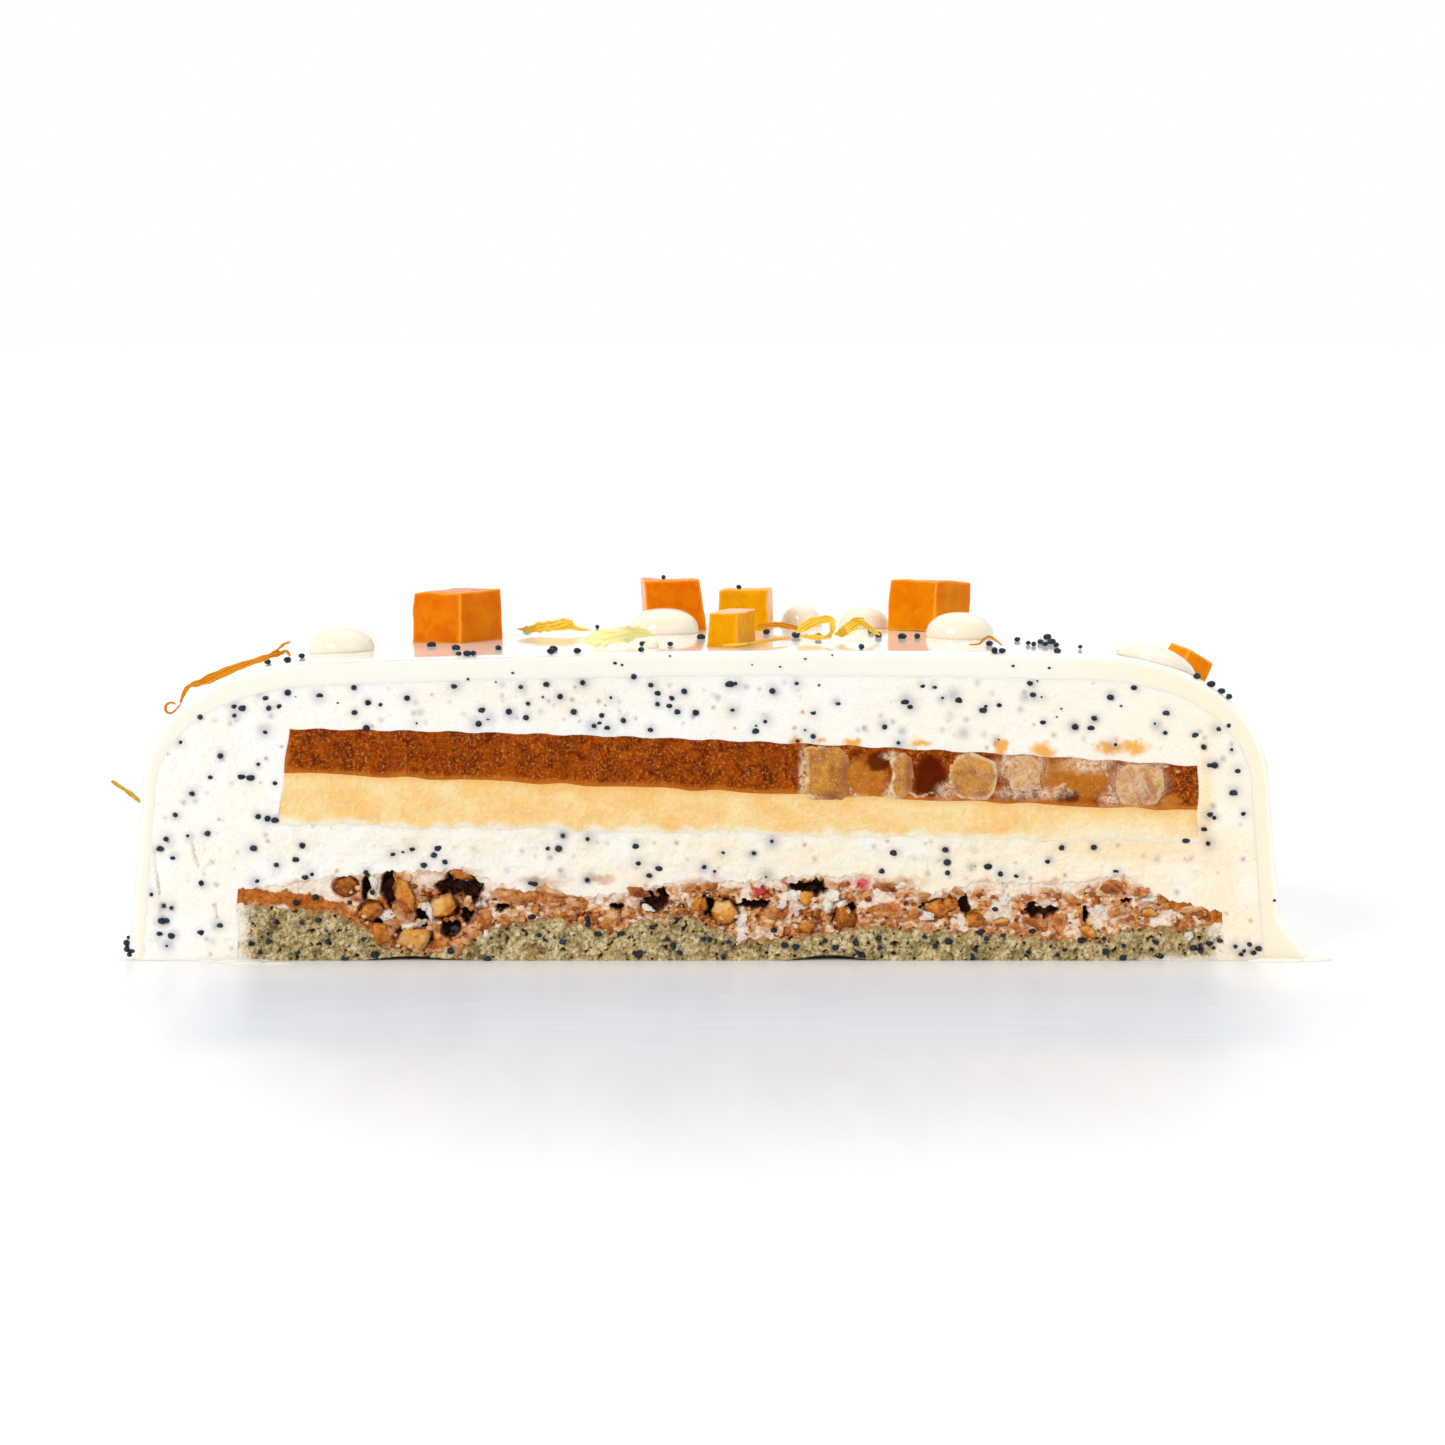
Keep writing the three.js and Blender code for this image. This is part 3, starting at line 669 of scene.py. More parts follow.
class Recipe:
    """Builds one procedural material, node by node."""

    def __init__(self, name: str) -> None:
        """Starts a material with a plain shader.

        Args:
            name: the material's name.
        """
        self.material = bpy.data.materials.new(name)
        self.material.use_nodes = True
        self.nodes = self.material.node_tree.nodes
        self.links = self.material.node_tree.links
        self.shader = self.nodes["Principled BSDF"]
        self.places = self.nodes.new("ShaderNodeTexCoord").outputs["Object"]

    def put(self, socket: Socket, value: object) -> None:
        """Sets an input to a value or links it to another node's output.

        Args:
            socket: the input.
            value: a value, or another node's output.
        """
        if isinstance(value, Socket):
            self.links.new(value, socket)
        else:
            socket.default_value = value

    def node(self, kind: str, **inputs: object) -> bpy.types.Node:
        """A new node; its inputs are given by name, with _ for a blank.

        Args:
            kind: its type, without the common beginning.
            inputs: their values or what feeds them.

        Returns:
            The node.
        """
        node = self.nodes.new("ShaderNode" + kind)
        for name, value in inputs.items():
            self.put(node.inputs[name.replace("_", " ")], value)
        return node

    def stretched(self, x: float, y: float, z: float) -> Socket:
        """Places scaled along each axis."""
        return self.node("Mapping", Vector=self.places, Scale=(x, y, z)).outputs["Vector"]

    def noise(self, size: float, detail: float = 3, rough: float = 0.55, warp: float = 0,
              places: Socket | None = None) -> Socket:
        """Noise from 0 to 1 with features of about the given size in mm.

        Args:
            size: how wide they are.
            detail: how many finer layers it has.
            rough: how strong those are.
            warp: how much it is bent.
            places: where it is taken, if stretched.

        Returns:
            The noise.
        """
        return self.node(
            "TexNoise", Vector=places or self.places, Scale=1 / (size * METRES), Detail=detail,
            Roughness=rough, Distortion=warp,
        ).outputs["Fac"]

    def cells(self, size: float) -> Socket:
        """Distance to the middle of the nearest cell, for cells of about the given size in mm."""
        return self.node("TexVoronoi", Vector=self.places, Scale=1 / (size * METRES)).outputs["Distance"]

    def mark(self, name: str, share: float = 1.0) -> Socket:
        """One of the mesh's own named values, all of it or a share of it.

        Args:
            name: the mark's name.
            share: what it is multiplied by.

        Returns:
            The value.
        """
        node = self.node("Attribute")
        node.attribute_name = name
        value = node.outputs["Fac"]
        return value if share == 1 else self.times(value, share)

    def between(self, value: Socket, low: float, high: float, start: float = 0, end: float = 1) -> Socket:
        """A value carried over from one range to another, with its ends held.

        Args:
            value: the value.
            low: where the first range starts.
            high: where it ends.
            start: where the second range starts.
            end: where it ends.

        Returns:
            The new value.
        """
        return self.node(
            "MapRange", Value=value, From_Min=low, From_Max=high, To_Min=start, To_Max=end,
        ).outputs["Result"]

    def math(self, kind: str, a: object, b: object) -> Socket:
        """Two values put together by one of the math node's operations.

        Args:
            kind: the operation.
            a: the first value.
            b: the second value.

        Returns:
            The result.
        """
        node = self.node("Math")
        node.operation = kind
        for socket, value in zip(node.inputs, (a, b)):
            self.put(socket, value)
        return node.outputs[0]

    def plus(self, a: object, b: object) -> Socket:
        """The sum of two values."""
        return self.math("ADD", a, b)

    def times(self, a: object, b: object) -> Socket:
        """The product of two values."""
        return self.math("MULTIPLY", a, b)

    def mix(self, share: object, a: object, b: object) -> Socket:
        """Two colours mixed; plain colours are given as screen colours.

        Args:
            share: share of the second one.
            a: the first colour.
            b: the second colour.

        Returns:
            The new colour.
        """
        node = self.node("Mix")
        node.data_type = "RGBA"
        for place, value in ((0, share), (6, a), (7, b)):
            self.put(node.inputs[place], linear(value) if isinstance(value, tuple) else value)
        return node.outputs[2]

    def flecked(self, colour: object, other: object, low: float, high: float, *noise: float,
                share: float = 1.0) -> Socket:
        """A colour with flecks of another one.

        Args:
            colour: the colour between the flecks.
            other: the flecks' colour.
            low: value of the noise from which they begin to show.
            high: value from which they are full.
            noise: size in mm, detail, roughness and warp of the noise.
            share: how strong they are.

        Returns:
            The new colour.
        """
        return self.mix(self.between(self.noise(*noise), low, high, 0, share), colour, other)

    def marked(self, colour: object, marks: Sequence[tuple]) -> Socket:
        """A colour with other ones laid over it in turn, each as mark, colour and maybe strength.

        Args:
            colour: the colour below.
            marks: what is laid over it.

        Returns:
            The new colour.
        """
        for name, other, *share in marks:
            colour = self.mix(self.mark(name, *share), colour, other)
        return colour

    def ramp(self, value: Socket, stops: Shades) -> Socket:
        """Colours along a range from 0 to 1.

        Args:
            value: place in the range.
            stops: places in the range and their colours.

        Returns:
            The colour.
        """
        node = self.node("ValToRGB", Fac=value)
        steps = node.color_ramp.elements
        while len(steps) < len(stops):
            steps.new(0.5)
        for step, (place, colour) in zip(steps, stops):
            step.position = place
            step.color = linear(colour)
        return node.outputs["Color"]

    def bump(self, height: Socket, depth: float) -> None:
        """Roughens the surface by a height of up to depth mm."""
        node = self.node("Bump", Distance=depth * METRES, Height=height)
        self.put(self.shader.inputs["Normal"], node.outputs["Normal"])

    def done(self, colour: Socket, rough: object, bend: float, gloss: float, soft: float = 0,
             reach: Place | None = None, **others: object) -> Material:
        """Sets the shader's inputs.

        Args:
            colour: base colour.
            rough: roughness.
            bend: index of refraction.
            gloss: how strongly the surface shines.
            soft: share of the light that goes under the surface.
            reach: how far red, green and blue light go there, in mm.
            others: other inputs by name, with _ for a blank.

        Returns:
            The material.
        """
        values = {"Base Color": colour, "Roughness": rough, "IOR": bend, "Specular_IOR_Level": gloss}
        values |= others
        if soft:
            values |= {"Subsurface_Weight": soft, "Subsurface_Radius": reach, "Subsurface_Scale": METRES}
        for name, value in values.items():
            self.put(self.shader.inputs[name.replace("_", " ")], value)
        return self.material


@dataclass(frozen=True)
class GlazeFinish:
    """Glossy ivory-white mirror glaze, a little creamier where it is cut, with painted cool shade along the
    left part of the cut's outer edge.
    """

    top: Colour = (253, 252, 243)
    ivory: Colour = (250, 247, 232)
    # painted orange light of the dice on the glaze round their feet: light through them and their reflection
    painted_dice_glow: Colour = (252, 222, 166)
    cut: Colour = (243, 241, 226)
    cream: Colour = (244, 239, 228)
    warm: Colour = (247, 233, 208)
    # rim: painted cool shade along the outer edge of the cut
    rim: Colour = (206, 208, 214)

    def material(self) -> Material:
        """The glaze's material.

        Returns:
            The material.
        """
        r = Recipe("white_mirror_glaze")
        # painted orange light and reflection of the dice laid over the glaze's top
        skin = r.marked(r.flecked(self.top, self.ivory, 0.3, 0.7, 14, 2), [("painted_dice_glow", self.painted_dice_glow, 0.6)])
        cut = r.marked(r.flecked(self.cut, self.cream, 0.35, 0.65, 3, 3), [("warm", self.warm)])
        colour = r.marked(skin, [("cut", cut), ("rim", self.rim, 0.8)])
        r.bump(r.noise(5, 2), 0.03)
        rough = r.between(r.mark("cut"), 0, 1, 0.09, 0.3)
        return r.done(colour, rough, 1.47, 0.32, 0.25, (1.2, 0.9, 0.6), Coat_Weight=0.15, Coat_Roughness=0.04)


@dataclass(frozen=True)
class MousseFinish:
    """Matt creamy mousse, stained blue-grey where poppy seeds lie just under it."""

    pale: Colour = (255, 252, 247)
    cloud: Colour = (254, 247, 235)
    freckle: Colour = (240, 222, 198)
    dot: Colour = (216, 176, 150)
    tints: tuple[tuple[str, Colour], ...] = (("warm", (253, 240, 218)), ("peach", (253, 224, 172)))
    stains: tuple[tuple[str, Colour], ...] = (
        ("fruit", (242, 174, 62)), ("tan", (206, 146, 98)), ("stain", (84, 106, 140)),
        ("rust", (150, 72, 54)),
    )

    def material(self) -> Material:
        """The mousse's material.

        Returns:
            The material.
        """
        r = Recipe("poppy_seed_mousse")
        colour = r.marked(r.flecked(self.pale, self.cloud, 0.38, 0.62, 9, 3, 0.6, 0.5), self.tints)
        colour = r.flecked(colour, self.freckle, 0.58, 0.74, 0.7, 3, 0.7, share=0.4)
        colour = r.flecked(colour, self.dot, 0.68, 0.76, 0.5, 2, share=0.4)
        r.bump(r.plus(r.noise(1.2, 5, 0.7), r.noise(0.35, 2)), 0.22)
        return r.done(r.marked(colour, self.stains), 0.55, 1.4, 0.3, 0.25, (1.2, 0.9, 0.6))


@dataclass(frozen=True)
class JellyFinish:
    """Cooked apricot jelly: red-brown, with a dense pale grain that also paints tiny glints of its wet
    surface, and clearer dark windows.
    """

    deep: Colour = (98, 30, 0)
    body: Colour = (160, 70, 2)
    amber: tuple[Colour, Colour] = ((158, 82, 12), (212, 140, 50))
    grain: Colour = (226, 150, 76)
    window: Colour = (84, 22, 0)
    rim: Colour = (212, 122, 36)
    haze: Colour = (232, 204, 170)
    scratch: Colour = (240, 212, 180)

    def material(self) -> Material:
        """The jelly's material.

        Returns:
            The material.
        """
        r = Recipe("apricot_jelly")
        tone = r.plus(r.noise(1.3, 5, 0.75), r.between(r.noise(4.5, 3, 0.6, 0.3), 0.3, 0.7, -0.08, 0.08))
        colour = r.mix(r.between(tone, 0.38, 0.62), self.deep, self.body)
        colour = r.marked(colour, [("amber", r.mix(r.noise(1.5, 4), *self.amber), 0.8)])
        patches = r.between(r.noise(5, 3, 0.6, 0.4), 0.4, 0.62, 0.5, 1)
        # pale grain, partly painted glints of the wet surface
        grain = r.times(r.between(r.noise(0.5, 4, 0.85), 0.52, 0.68), patches)
        shown = r.math("SUBTRACT", 1, r.mark("window"))
        colour = r.mix(r.times(grain, shown), colour, self.grain)
        colour = r.marked(colour, [("window", self.window, 0.9), ("rim", self.rim, 0.6)])
        haze = r.times(r.mark("haze"), r.between(r.noise(0.9, 4, 0.7, 1.5), 0.34, 0.6))
        colour = r.marked(r.mix(haze, colour, self.haze), [("scratch", self.scratch)])
        r.bump(r.noise(0.5, 3, 0.6), 0.12)
        return r.done(colour, 0.38, 1.42, 0.03, 0.1, (1.2, 0.4, 0.1))


@dataclass(frozen=True)
class CreamFinish:
    """Soft apricot cream, peach-yellow with deeper spots, fading to the mousse at its edges."""

    pale: Colour = (253, 224, 164)
    deep: Colour = (250, 202, 126)
    spot: Colour = (244, 184, 100)
    light: Colour = (255, 236, 196)
    edges: tuple[tuple[str, Colour], ...] = (("orange", (246, 176, 84)), ("milk", (252, 242, 222)))

    def material(self) -> Material:
        """The cream's material.

        Returns:
            The material.
        """
        r = Recipe("apricot_cream")
        colour = r.flecked(self.deep, self.pale, 0.36, 0.64, 6, 4, 0.6, 0.6)
        colour = r.flecked(colour, self.spot, 0.54, 0.7, 0.8, 4, 0.7, share=0.5)
        colour = r.flecked(colour, self.light, 0.56, 0.7, 0.9, 3, 0.65, share=0.5)
        r.bump(r.plus(r.noise(1.1, 5, 0.7), r.noise(0.4, 2)), 0.25)
        return r.done(r.marked(colour, self.edges), 0.5, 1.4, 0.25, 0.25, (1.4, 0.8, 0.3))


@dataclass(frozen=True)
class CrunchFinish:
    """Broken toffee and nut, each shard in its own shade from dark brown to pale pinkish cream, with painted
    shade in its hollows.
    """

    shades: Shades = (
        (0.0, (74, 32, 10)), (0.2, (152, 76, 22)), (0.38, (206, 126, 50)), (0.55, (226, 160, 92)),
        (0.74, (240, 202, 160)), (1.0, (253, 240, 222)),
    )
    honey: Colour = (226, 160, 60)
    pink: Colour = (226, 184, 164)
    burnt: Colour = (96, 42, 14)
    caramel: tuple[Colour, Colour] = ((140, 66, 10), (222, 132, 48))
    milk: Colour = (253, 243, 228)
    berry: Colour = (224, 62, 76)
    # painted shade inside the hollows, near black to dark brown
    shaded_hollow: tuple[Colour, Colour] = ((34, 16, 9), (92, 52, 30))

    def material(self) -> Material:
        """The crunch's material.

        Returns:
            The material.
        """
        r = Recipe("nut_crunch")
        spread = r.between(r.noise(0.7, 5, 0.75, 1.0), 0.3, 0.7, -0.16, 0.16)
        colour = r.ramp(r.plus(r.mark("shade"), spread), self.shades)
        colour = r.flecked(colour, self.honey, 0.54, 0.66, 1.8, 4, 0.6, share=0.55)
        colour = r.flecked(colour, self.pink, 0.5, 0.64, 2.2, 4, 0.65, share=0.6)
        colour = r.flecked(colour, self.burnt, 0.6, 0.7, 1.0, 4, 0.7, share=0.7)
        colour = r.marked(colour, [("caramel", r.flecked(*self.caramel, 0.35, 0.65, 0.9, 4, 0.7))])
        speckle = r.between(r.noise(0.5, 3, 0.7), 0.45, 0.62, 0.75, 1)
        colour = r.mix(r.times(r.mark("milk"), speckle), colour, self.milk)
        painted_hollow_shade = r.flecked(*self.shaded_hollow, 0.4, 0.6, 1.1, 4, 0.7)
        colour = r.marked(colour, [("berry", self.berry), ("shaded_hollow", painted_hollow_shade)])
        r.bump(r.plus(r.noise(0.6, 4, 0.7), r.noise(0.25, 2)), 0.22)
        return r.done(colour, 0.45, 1.45, 0.18, 0.05, (1.0, 0.5, 0.25))


@dataclass(frozen=True)
class SpongeFinish:
    """Greenish-beige crumb: pale grains with painted highlights on their domes, pores darkened with painted
    shade, and soft ends where mousse soaks in.
    """

    # the lightest shades paint highlights on the grains, the darkest paint shade in the pores
    shades: Shades = (
        (0.0, (70, 56, 28)), (0.25, (128, 110, 68)), (0.48, (178, 158, 110)), (0.68, (216, 197, 150)),
        (1.0, (250, 237, 202)),
    )
    gold: Colour = (208, 172, 98)
    green: Colour = (126, 126, 100)
    stains: tuple[tuple[str, Colour], ...] = (
        ("stain", (42, 52, 60)), ("caramel", (184, 116, 56)), ("milk", (250, 240, 222)),
    )

    def material(self) -> Material:
        """The sponge's material.

        Returns:
            The material.
        """
        r = Recipe("poppy_seed_sponge")
        fine = r.between(r.noise(0.5, 5, 0.8, 0.3), 0.3, 0.7, -0.36, 0.36)
        colour = r.ramp(r.plus(r.mark("crumb"), fine), self.shades)
        colour = r.flecked(colour, self.gold, 0.52, 0.68, 2.8, 3, 0.6, share=0.5)
        colour = r.flecked(colour, self.green, 0.6, 0.72, 1.9, 3, 0.6, share=0.3)
        r.bump(r.plus(r.noise(0.4, 4, 0.7), r.cells(0.4)), 0.2)
        return r.done(r.marked(colour, self.stains), 0.62, 1.38, 0.25)


@dataclass(frozen=True)
class FruitFinish:
    """Cooked apricot, amber and clear, with a milky rim where it was cut."""

    clear: Colour = (150, 76, 0)
    flesh: Colour = (208, 140, 26)
    grain: Colour = (230, 184, 116)
    brown: Colour = (140, 60, 8)
    haze: Colour = (228, 200, 168)
    rim: Colour = (240, 214, 178)

    def material(self) -> Material:
        """The fruit pieces' material.

        Returns:
            The material.
        """
        r = Recipe("cooked_apricot")
        colour = r.flecked(self.clear, self.flesh, 0.32, 0.68, 2.8, 4, 0.6, 0.6)
        colour = r.flecked(colour, self.grain, 0.5, 0.64, 0.4, 4, 0.85, share=0.55)
        colour = r.marked(colour, [("brown", self.brown)])
        haze = r.between(r.noise(1.6, 5, 0.7, 1), 0.34, 0.62, 0.1, 0.85)
        colour = r.mix(r.times(r.mark("pale"), haze), colour, self.haze)
        broken = r.between(r.noise(1.1, 4, 0.7), 0.36, 0.56)
        colour = r.mix(r.times(r.mark("rim"), broken), colour, self.rim)
        r.bump(r.noise(0.7, 4, 0.6), 0.12)
        return r.done(colour, 0.3, 1.42, 0.04, 0.2, (1.8, 0.9, 0.25))


@dataclass(frozen=True)
class BitFinish:
    """Bits in the crunch: each bit has its own shade, and a skin or a pale rim at its edge."""

    name: str
    shades: Shades
    rim: Colour
    rough: float

    def material(self) -> Material:
        """The bits' material.

        Returns:
            The material.
        """
        r = Recipe(self.name)
        streaks = r.between(r.noise(0.7, 5, 0.7, 1.0, r.stretched(1, 1, 1.8)), 0.3, 0.7, -0.2, 0.2)
        colour = r.ramp(r.plus(r.mark("shade"), streaks), self.shades)
        r.bump(r.plus(streaks, r.noise(0.5, 4, 0.7)), 0.3)
        return r.done(r.marked(colour, [("rim", self.rim)]), self.rough, 1.47, 0.4, 0.1, (1.0, 0.5, 0.2))


@dataclass(frozen=True)
class SeedFinish:
    """Blue-black poppy seed with a fine net of ridges."""

    dark: Colour = (12, 15, 21)
    light: Colour = (36, 58, 82)

    def material(self) -> Material:
        """The seeds' material.

        Returns:
            The material.
        """
        r = Recipe("poppy_seed")
        r.bump(r.cells(0.16), 0.05)
        return r.done(r.flecked(self.dark, self.light, 0.42, 0.7, 0.6, 3), 0.42, 1.45, 0.35)


@dataclass(frozen=True)
class DiceFinish:
    """Clear orange apricot jelly, firm and shiny, with painted highlights along its edges and on some faces.
    """

    body: Colour
    light: Colour
    fleck: Colour = (255, 196, 96)
    deep: Colour = (222, 88, 0)
    # painted highlights: light lines along the edges, and a pale face
    faces: tuple[tuple[str, Colour], ...] = (("edge", (255, 184, 70)), ("painted_face_highlight", (255, 224, 200)))

    def material(self, name: str) -> Material:
        """The material of one die.

        Args:
            name: the material's name.

        Returns:
            The material.
        """
        r = Recipe(name)
        colour = r.flecked(self.body, self.light, 0.36, 0.64, 3.2, 4, 0.6, 0.5)
        colour = r.flecked(colour, self.fleck, 0.68, 0.76, 0.42, 2, share=0.4)
        colour = r.flecked(colour, self.deep, 0.6, 0.72, 1.1, 3, 0.6, share=0.35)
        r.bump(r.noise(1.4, 4, 0.6), 0.1)
        colour = r.marked(colour, self.faces)
        return r.done(colour, 0.22, 1.41, 0.06, 0.5, (3.0, 0.9, 0.05), Coat_Weight=0.03, Coat_Roughness=0.08)


@dataclass(frozen=True)
class DropFinish:
    """Drops of milky clear glaze."""

    body: Colour = (250, 238, 220)
    warm: Colour = (250, 232, 206)

    def material(self) -> Material:
        """The drops' material.

        Returns:
            The material.
        """
        r = Recipe("clear_glaze_drop")
        colour = r.flecked(self.body, self.warm, 0.35, 0.65, 4, 2)
        r.bump(r.noise(2.5, 2), 0.03)
        return r.done(colour, 0.08, 1.42, 0.5, 0.35, (3.5, 3.0, 2.2), Coat_Weight=0.4, Coat_Roughness=0.02)


@dataclass(frozen=True)
class PetalFinish:
    """Dried petal, veined lengthwise, with a deep heart and a lighter edge."""

    name: str
    heart: Colour
    edge: Colour
    brown: Colour = (160, 88, 16)

    def material(self) -> Material:
        """The petal's material.

        Returns:
            The material.
        """
        r = Recipe(self.name)
        colour = r.mix(r.between(r.mark("vein"), 0.2, 0.8), self.edge, self.heart)
        colour = r.flecked(colour, self.edge, 0.5, 0.68, 1.6, 4, 0.6, share=0.6)
        colour = r.marked(colour, [("rim", self.edge)])
        colour = r.flecked(colour, self.brown, 0.64, 0.74, 1.8, 4, 0.6, share=0.6)
        r.bump(r.noise(0.5, 4, 0.6, 0.8), 0.1)
        return r.done(colour, 0.55, 1.4, 0.2, 0.3, (0.7, 0.5, 0.15))


@dataclass(frozen=True)
class TableFinish:
    """White table with a faint cool shine; near the cake a painted cool-grey shadow and reflection of the
    cake, streaked.
    """

    white: Colour = (255, 255, 255)
    # colours of the painted shadow and reflection of the cake
    wide: tuple[Colour, Colour] = ((219, 221, 225), (226, 228, 231))
    fine: tuple[Colour, Colour] = ((214, 220, 229), (220, 226, 235))
    shine: Colour = (205, 222, 255)

    def material(self) -> Material:
        """The table's material.

        Returns:
            The material.
        """
        r = Recipe("white_table")
        # streaks in the painted reflection of the cake
        grain = r.between(r.noise(2.6, 4, 0.7, 0.4, r.stretched(0.12, 1, 1)), 0.36, 0.64)
        wide = r.between(r.noise(14, 4, 0.65, 0.3, r.stretched(1, 0.16, 1)), 0.36, 0.64)
        colour = r.marked(self.white, [("far", r.mix(wide, *self.wide)), ("near", r.mix(grain, *self.fine))])
        r.bump(r.noise(3, 3, 0.6, 0, r.stretched(0.2, 1, 1)), 0.02)
        return r.done(colour, 0.3, 1.3, 0.16, Specular_Tint=linear(self.shine))


@dataclass
class Layer:
    """A layer of the cake: what lies between two height rules inside an upright disc."""

    centre: float
    radius: float
    bottom: Rule
    top: Rule
    step: float = 0.4
    wobble: float = 0.25
    slant: float = 0.0

    def outline(self) -> tuple[Array, Array]:
        """Closed line round the layer in the cut.

        Returns:
            Share of the half width from -1 to 1, and share of the thickness from 0 to 1.
        """
        across = np.linspace(-1, 1, round(2 * self.radius / self.step) + 1)
        ends = [self.centre - self.radius, self.centre + self.radius]
        zero = np.zeros(2)
        tall = (self.top(np.array(ends), zero) - self.bottom(np.array(ends), zero)).tolist()
        left, right = [np.linspace(0, 1, max(3, round(t / self.step) + 1))[1:-1] for t in tall]
        wide = np.concatenate([across, np.ones(len(right)), across[::-1], -np.ones(len(left))])
        high = np.concatenate([np.zeros(len(across)), right, np.ones(len(across)), left[::-1]])
        return wide, high

    def skin(self, turns: Array) -> Array:
        """The layer's whole outside behind the cut.

        Args:
            turns: angles from the cut round to the back, the first 0.

        Returns:
            A closed grid: one row a turn, one column a point of the outline.
        """
        wide, high = self.outline()
        wide, high = np.append(wide, wide[0]), np.append(high, high[0])
        flat_x = self.centre + self.radius * wide * np.cos(turns)[:, None]
        y = np.broadcast_to(self.radius * np.sin(turns)[:, None], flat_x.shape)
        low, top = self.bottom(flat_x, y), self.top(flat_x, y)
        z = low + high * (top - low)
        reach = self.radius - self.wobble * (0.5 + 0.5 * np.sin(0.8 * z + 2 * wide))
        x = self.centre + reach * wide * np.cos(turns)[:, None]
        left = np.clip(-wide * np.cos(turns)[:, None], 0, 1) ** 8
        return np.stack([x + self.slant * (z - 31.6) * left, y, z], axis=2)

    def loop(self) -> Array:
        """The outline's places in the cut, x and z."""
        return self.skin(np.zeros(1))[0, :-1][:, [0, 2]]


BACK_TURNS = np.concatenate([[0, 0.004, 0.012, 0.03, 0.07], np.linspace(0.13, QUARTER, 15)])


def solid_layer(layer: Layer, spacing: float, seed: int) -> Surface:
    """A whole layer, with a fine face in the cut and a plainer outside behind it.

    Args:
        layer: the layer.
        spacing: distance between the points of its face.
        seed: draw for their places.

    Returns:
        The growing mesh.
    """
    surface = Surface()
    surface.add_grid(layer.skin(BACK_TURNS))
    surface.add_cut_face([layer.loop()], spacing, seed)
    return surface


INSERT = Layer(5.7, 71.8, FORM.cream_bottom, FORM.jelly_top, slant=0.125)
JELLY = Layer(5.7, 71.8, FORM.jelly_bottom, FORM.jelly_top, slant=0.125)
CREAM = Layer(5.7, 71.8, FORM.cream_bottom, FORM.jelly_bottom, slant=0.125)
BASE = Layer(3.9, 77.7, FORM.floor, FORM.crunch_top)
CRUNCH = Layer(3.9, 77.7, FORM.sponge_top, FORM.crunch_top)
SPONGE = Layer(3.9, 77.7, FORM.sponge_bottom, FORM.sponge_top)


def behind_face(points: Array, relief: Array) -> Array:
    """The points, those in the cut moved back by their relief.

    Args:
        points: places, one row each.
        relief: how far each lies behind the flat cut.

    Returns:
        The new places.
    """
    moved = points.copy()
    moved[:, 1] += np.where(in_face(points), relief, 0)
    return moved


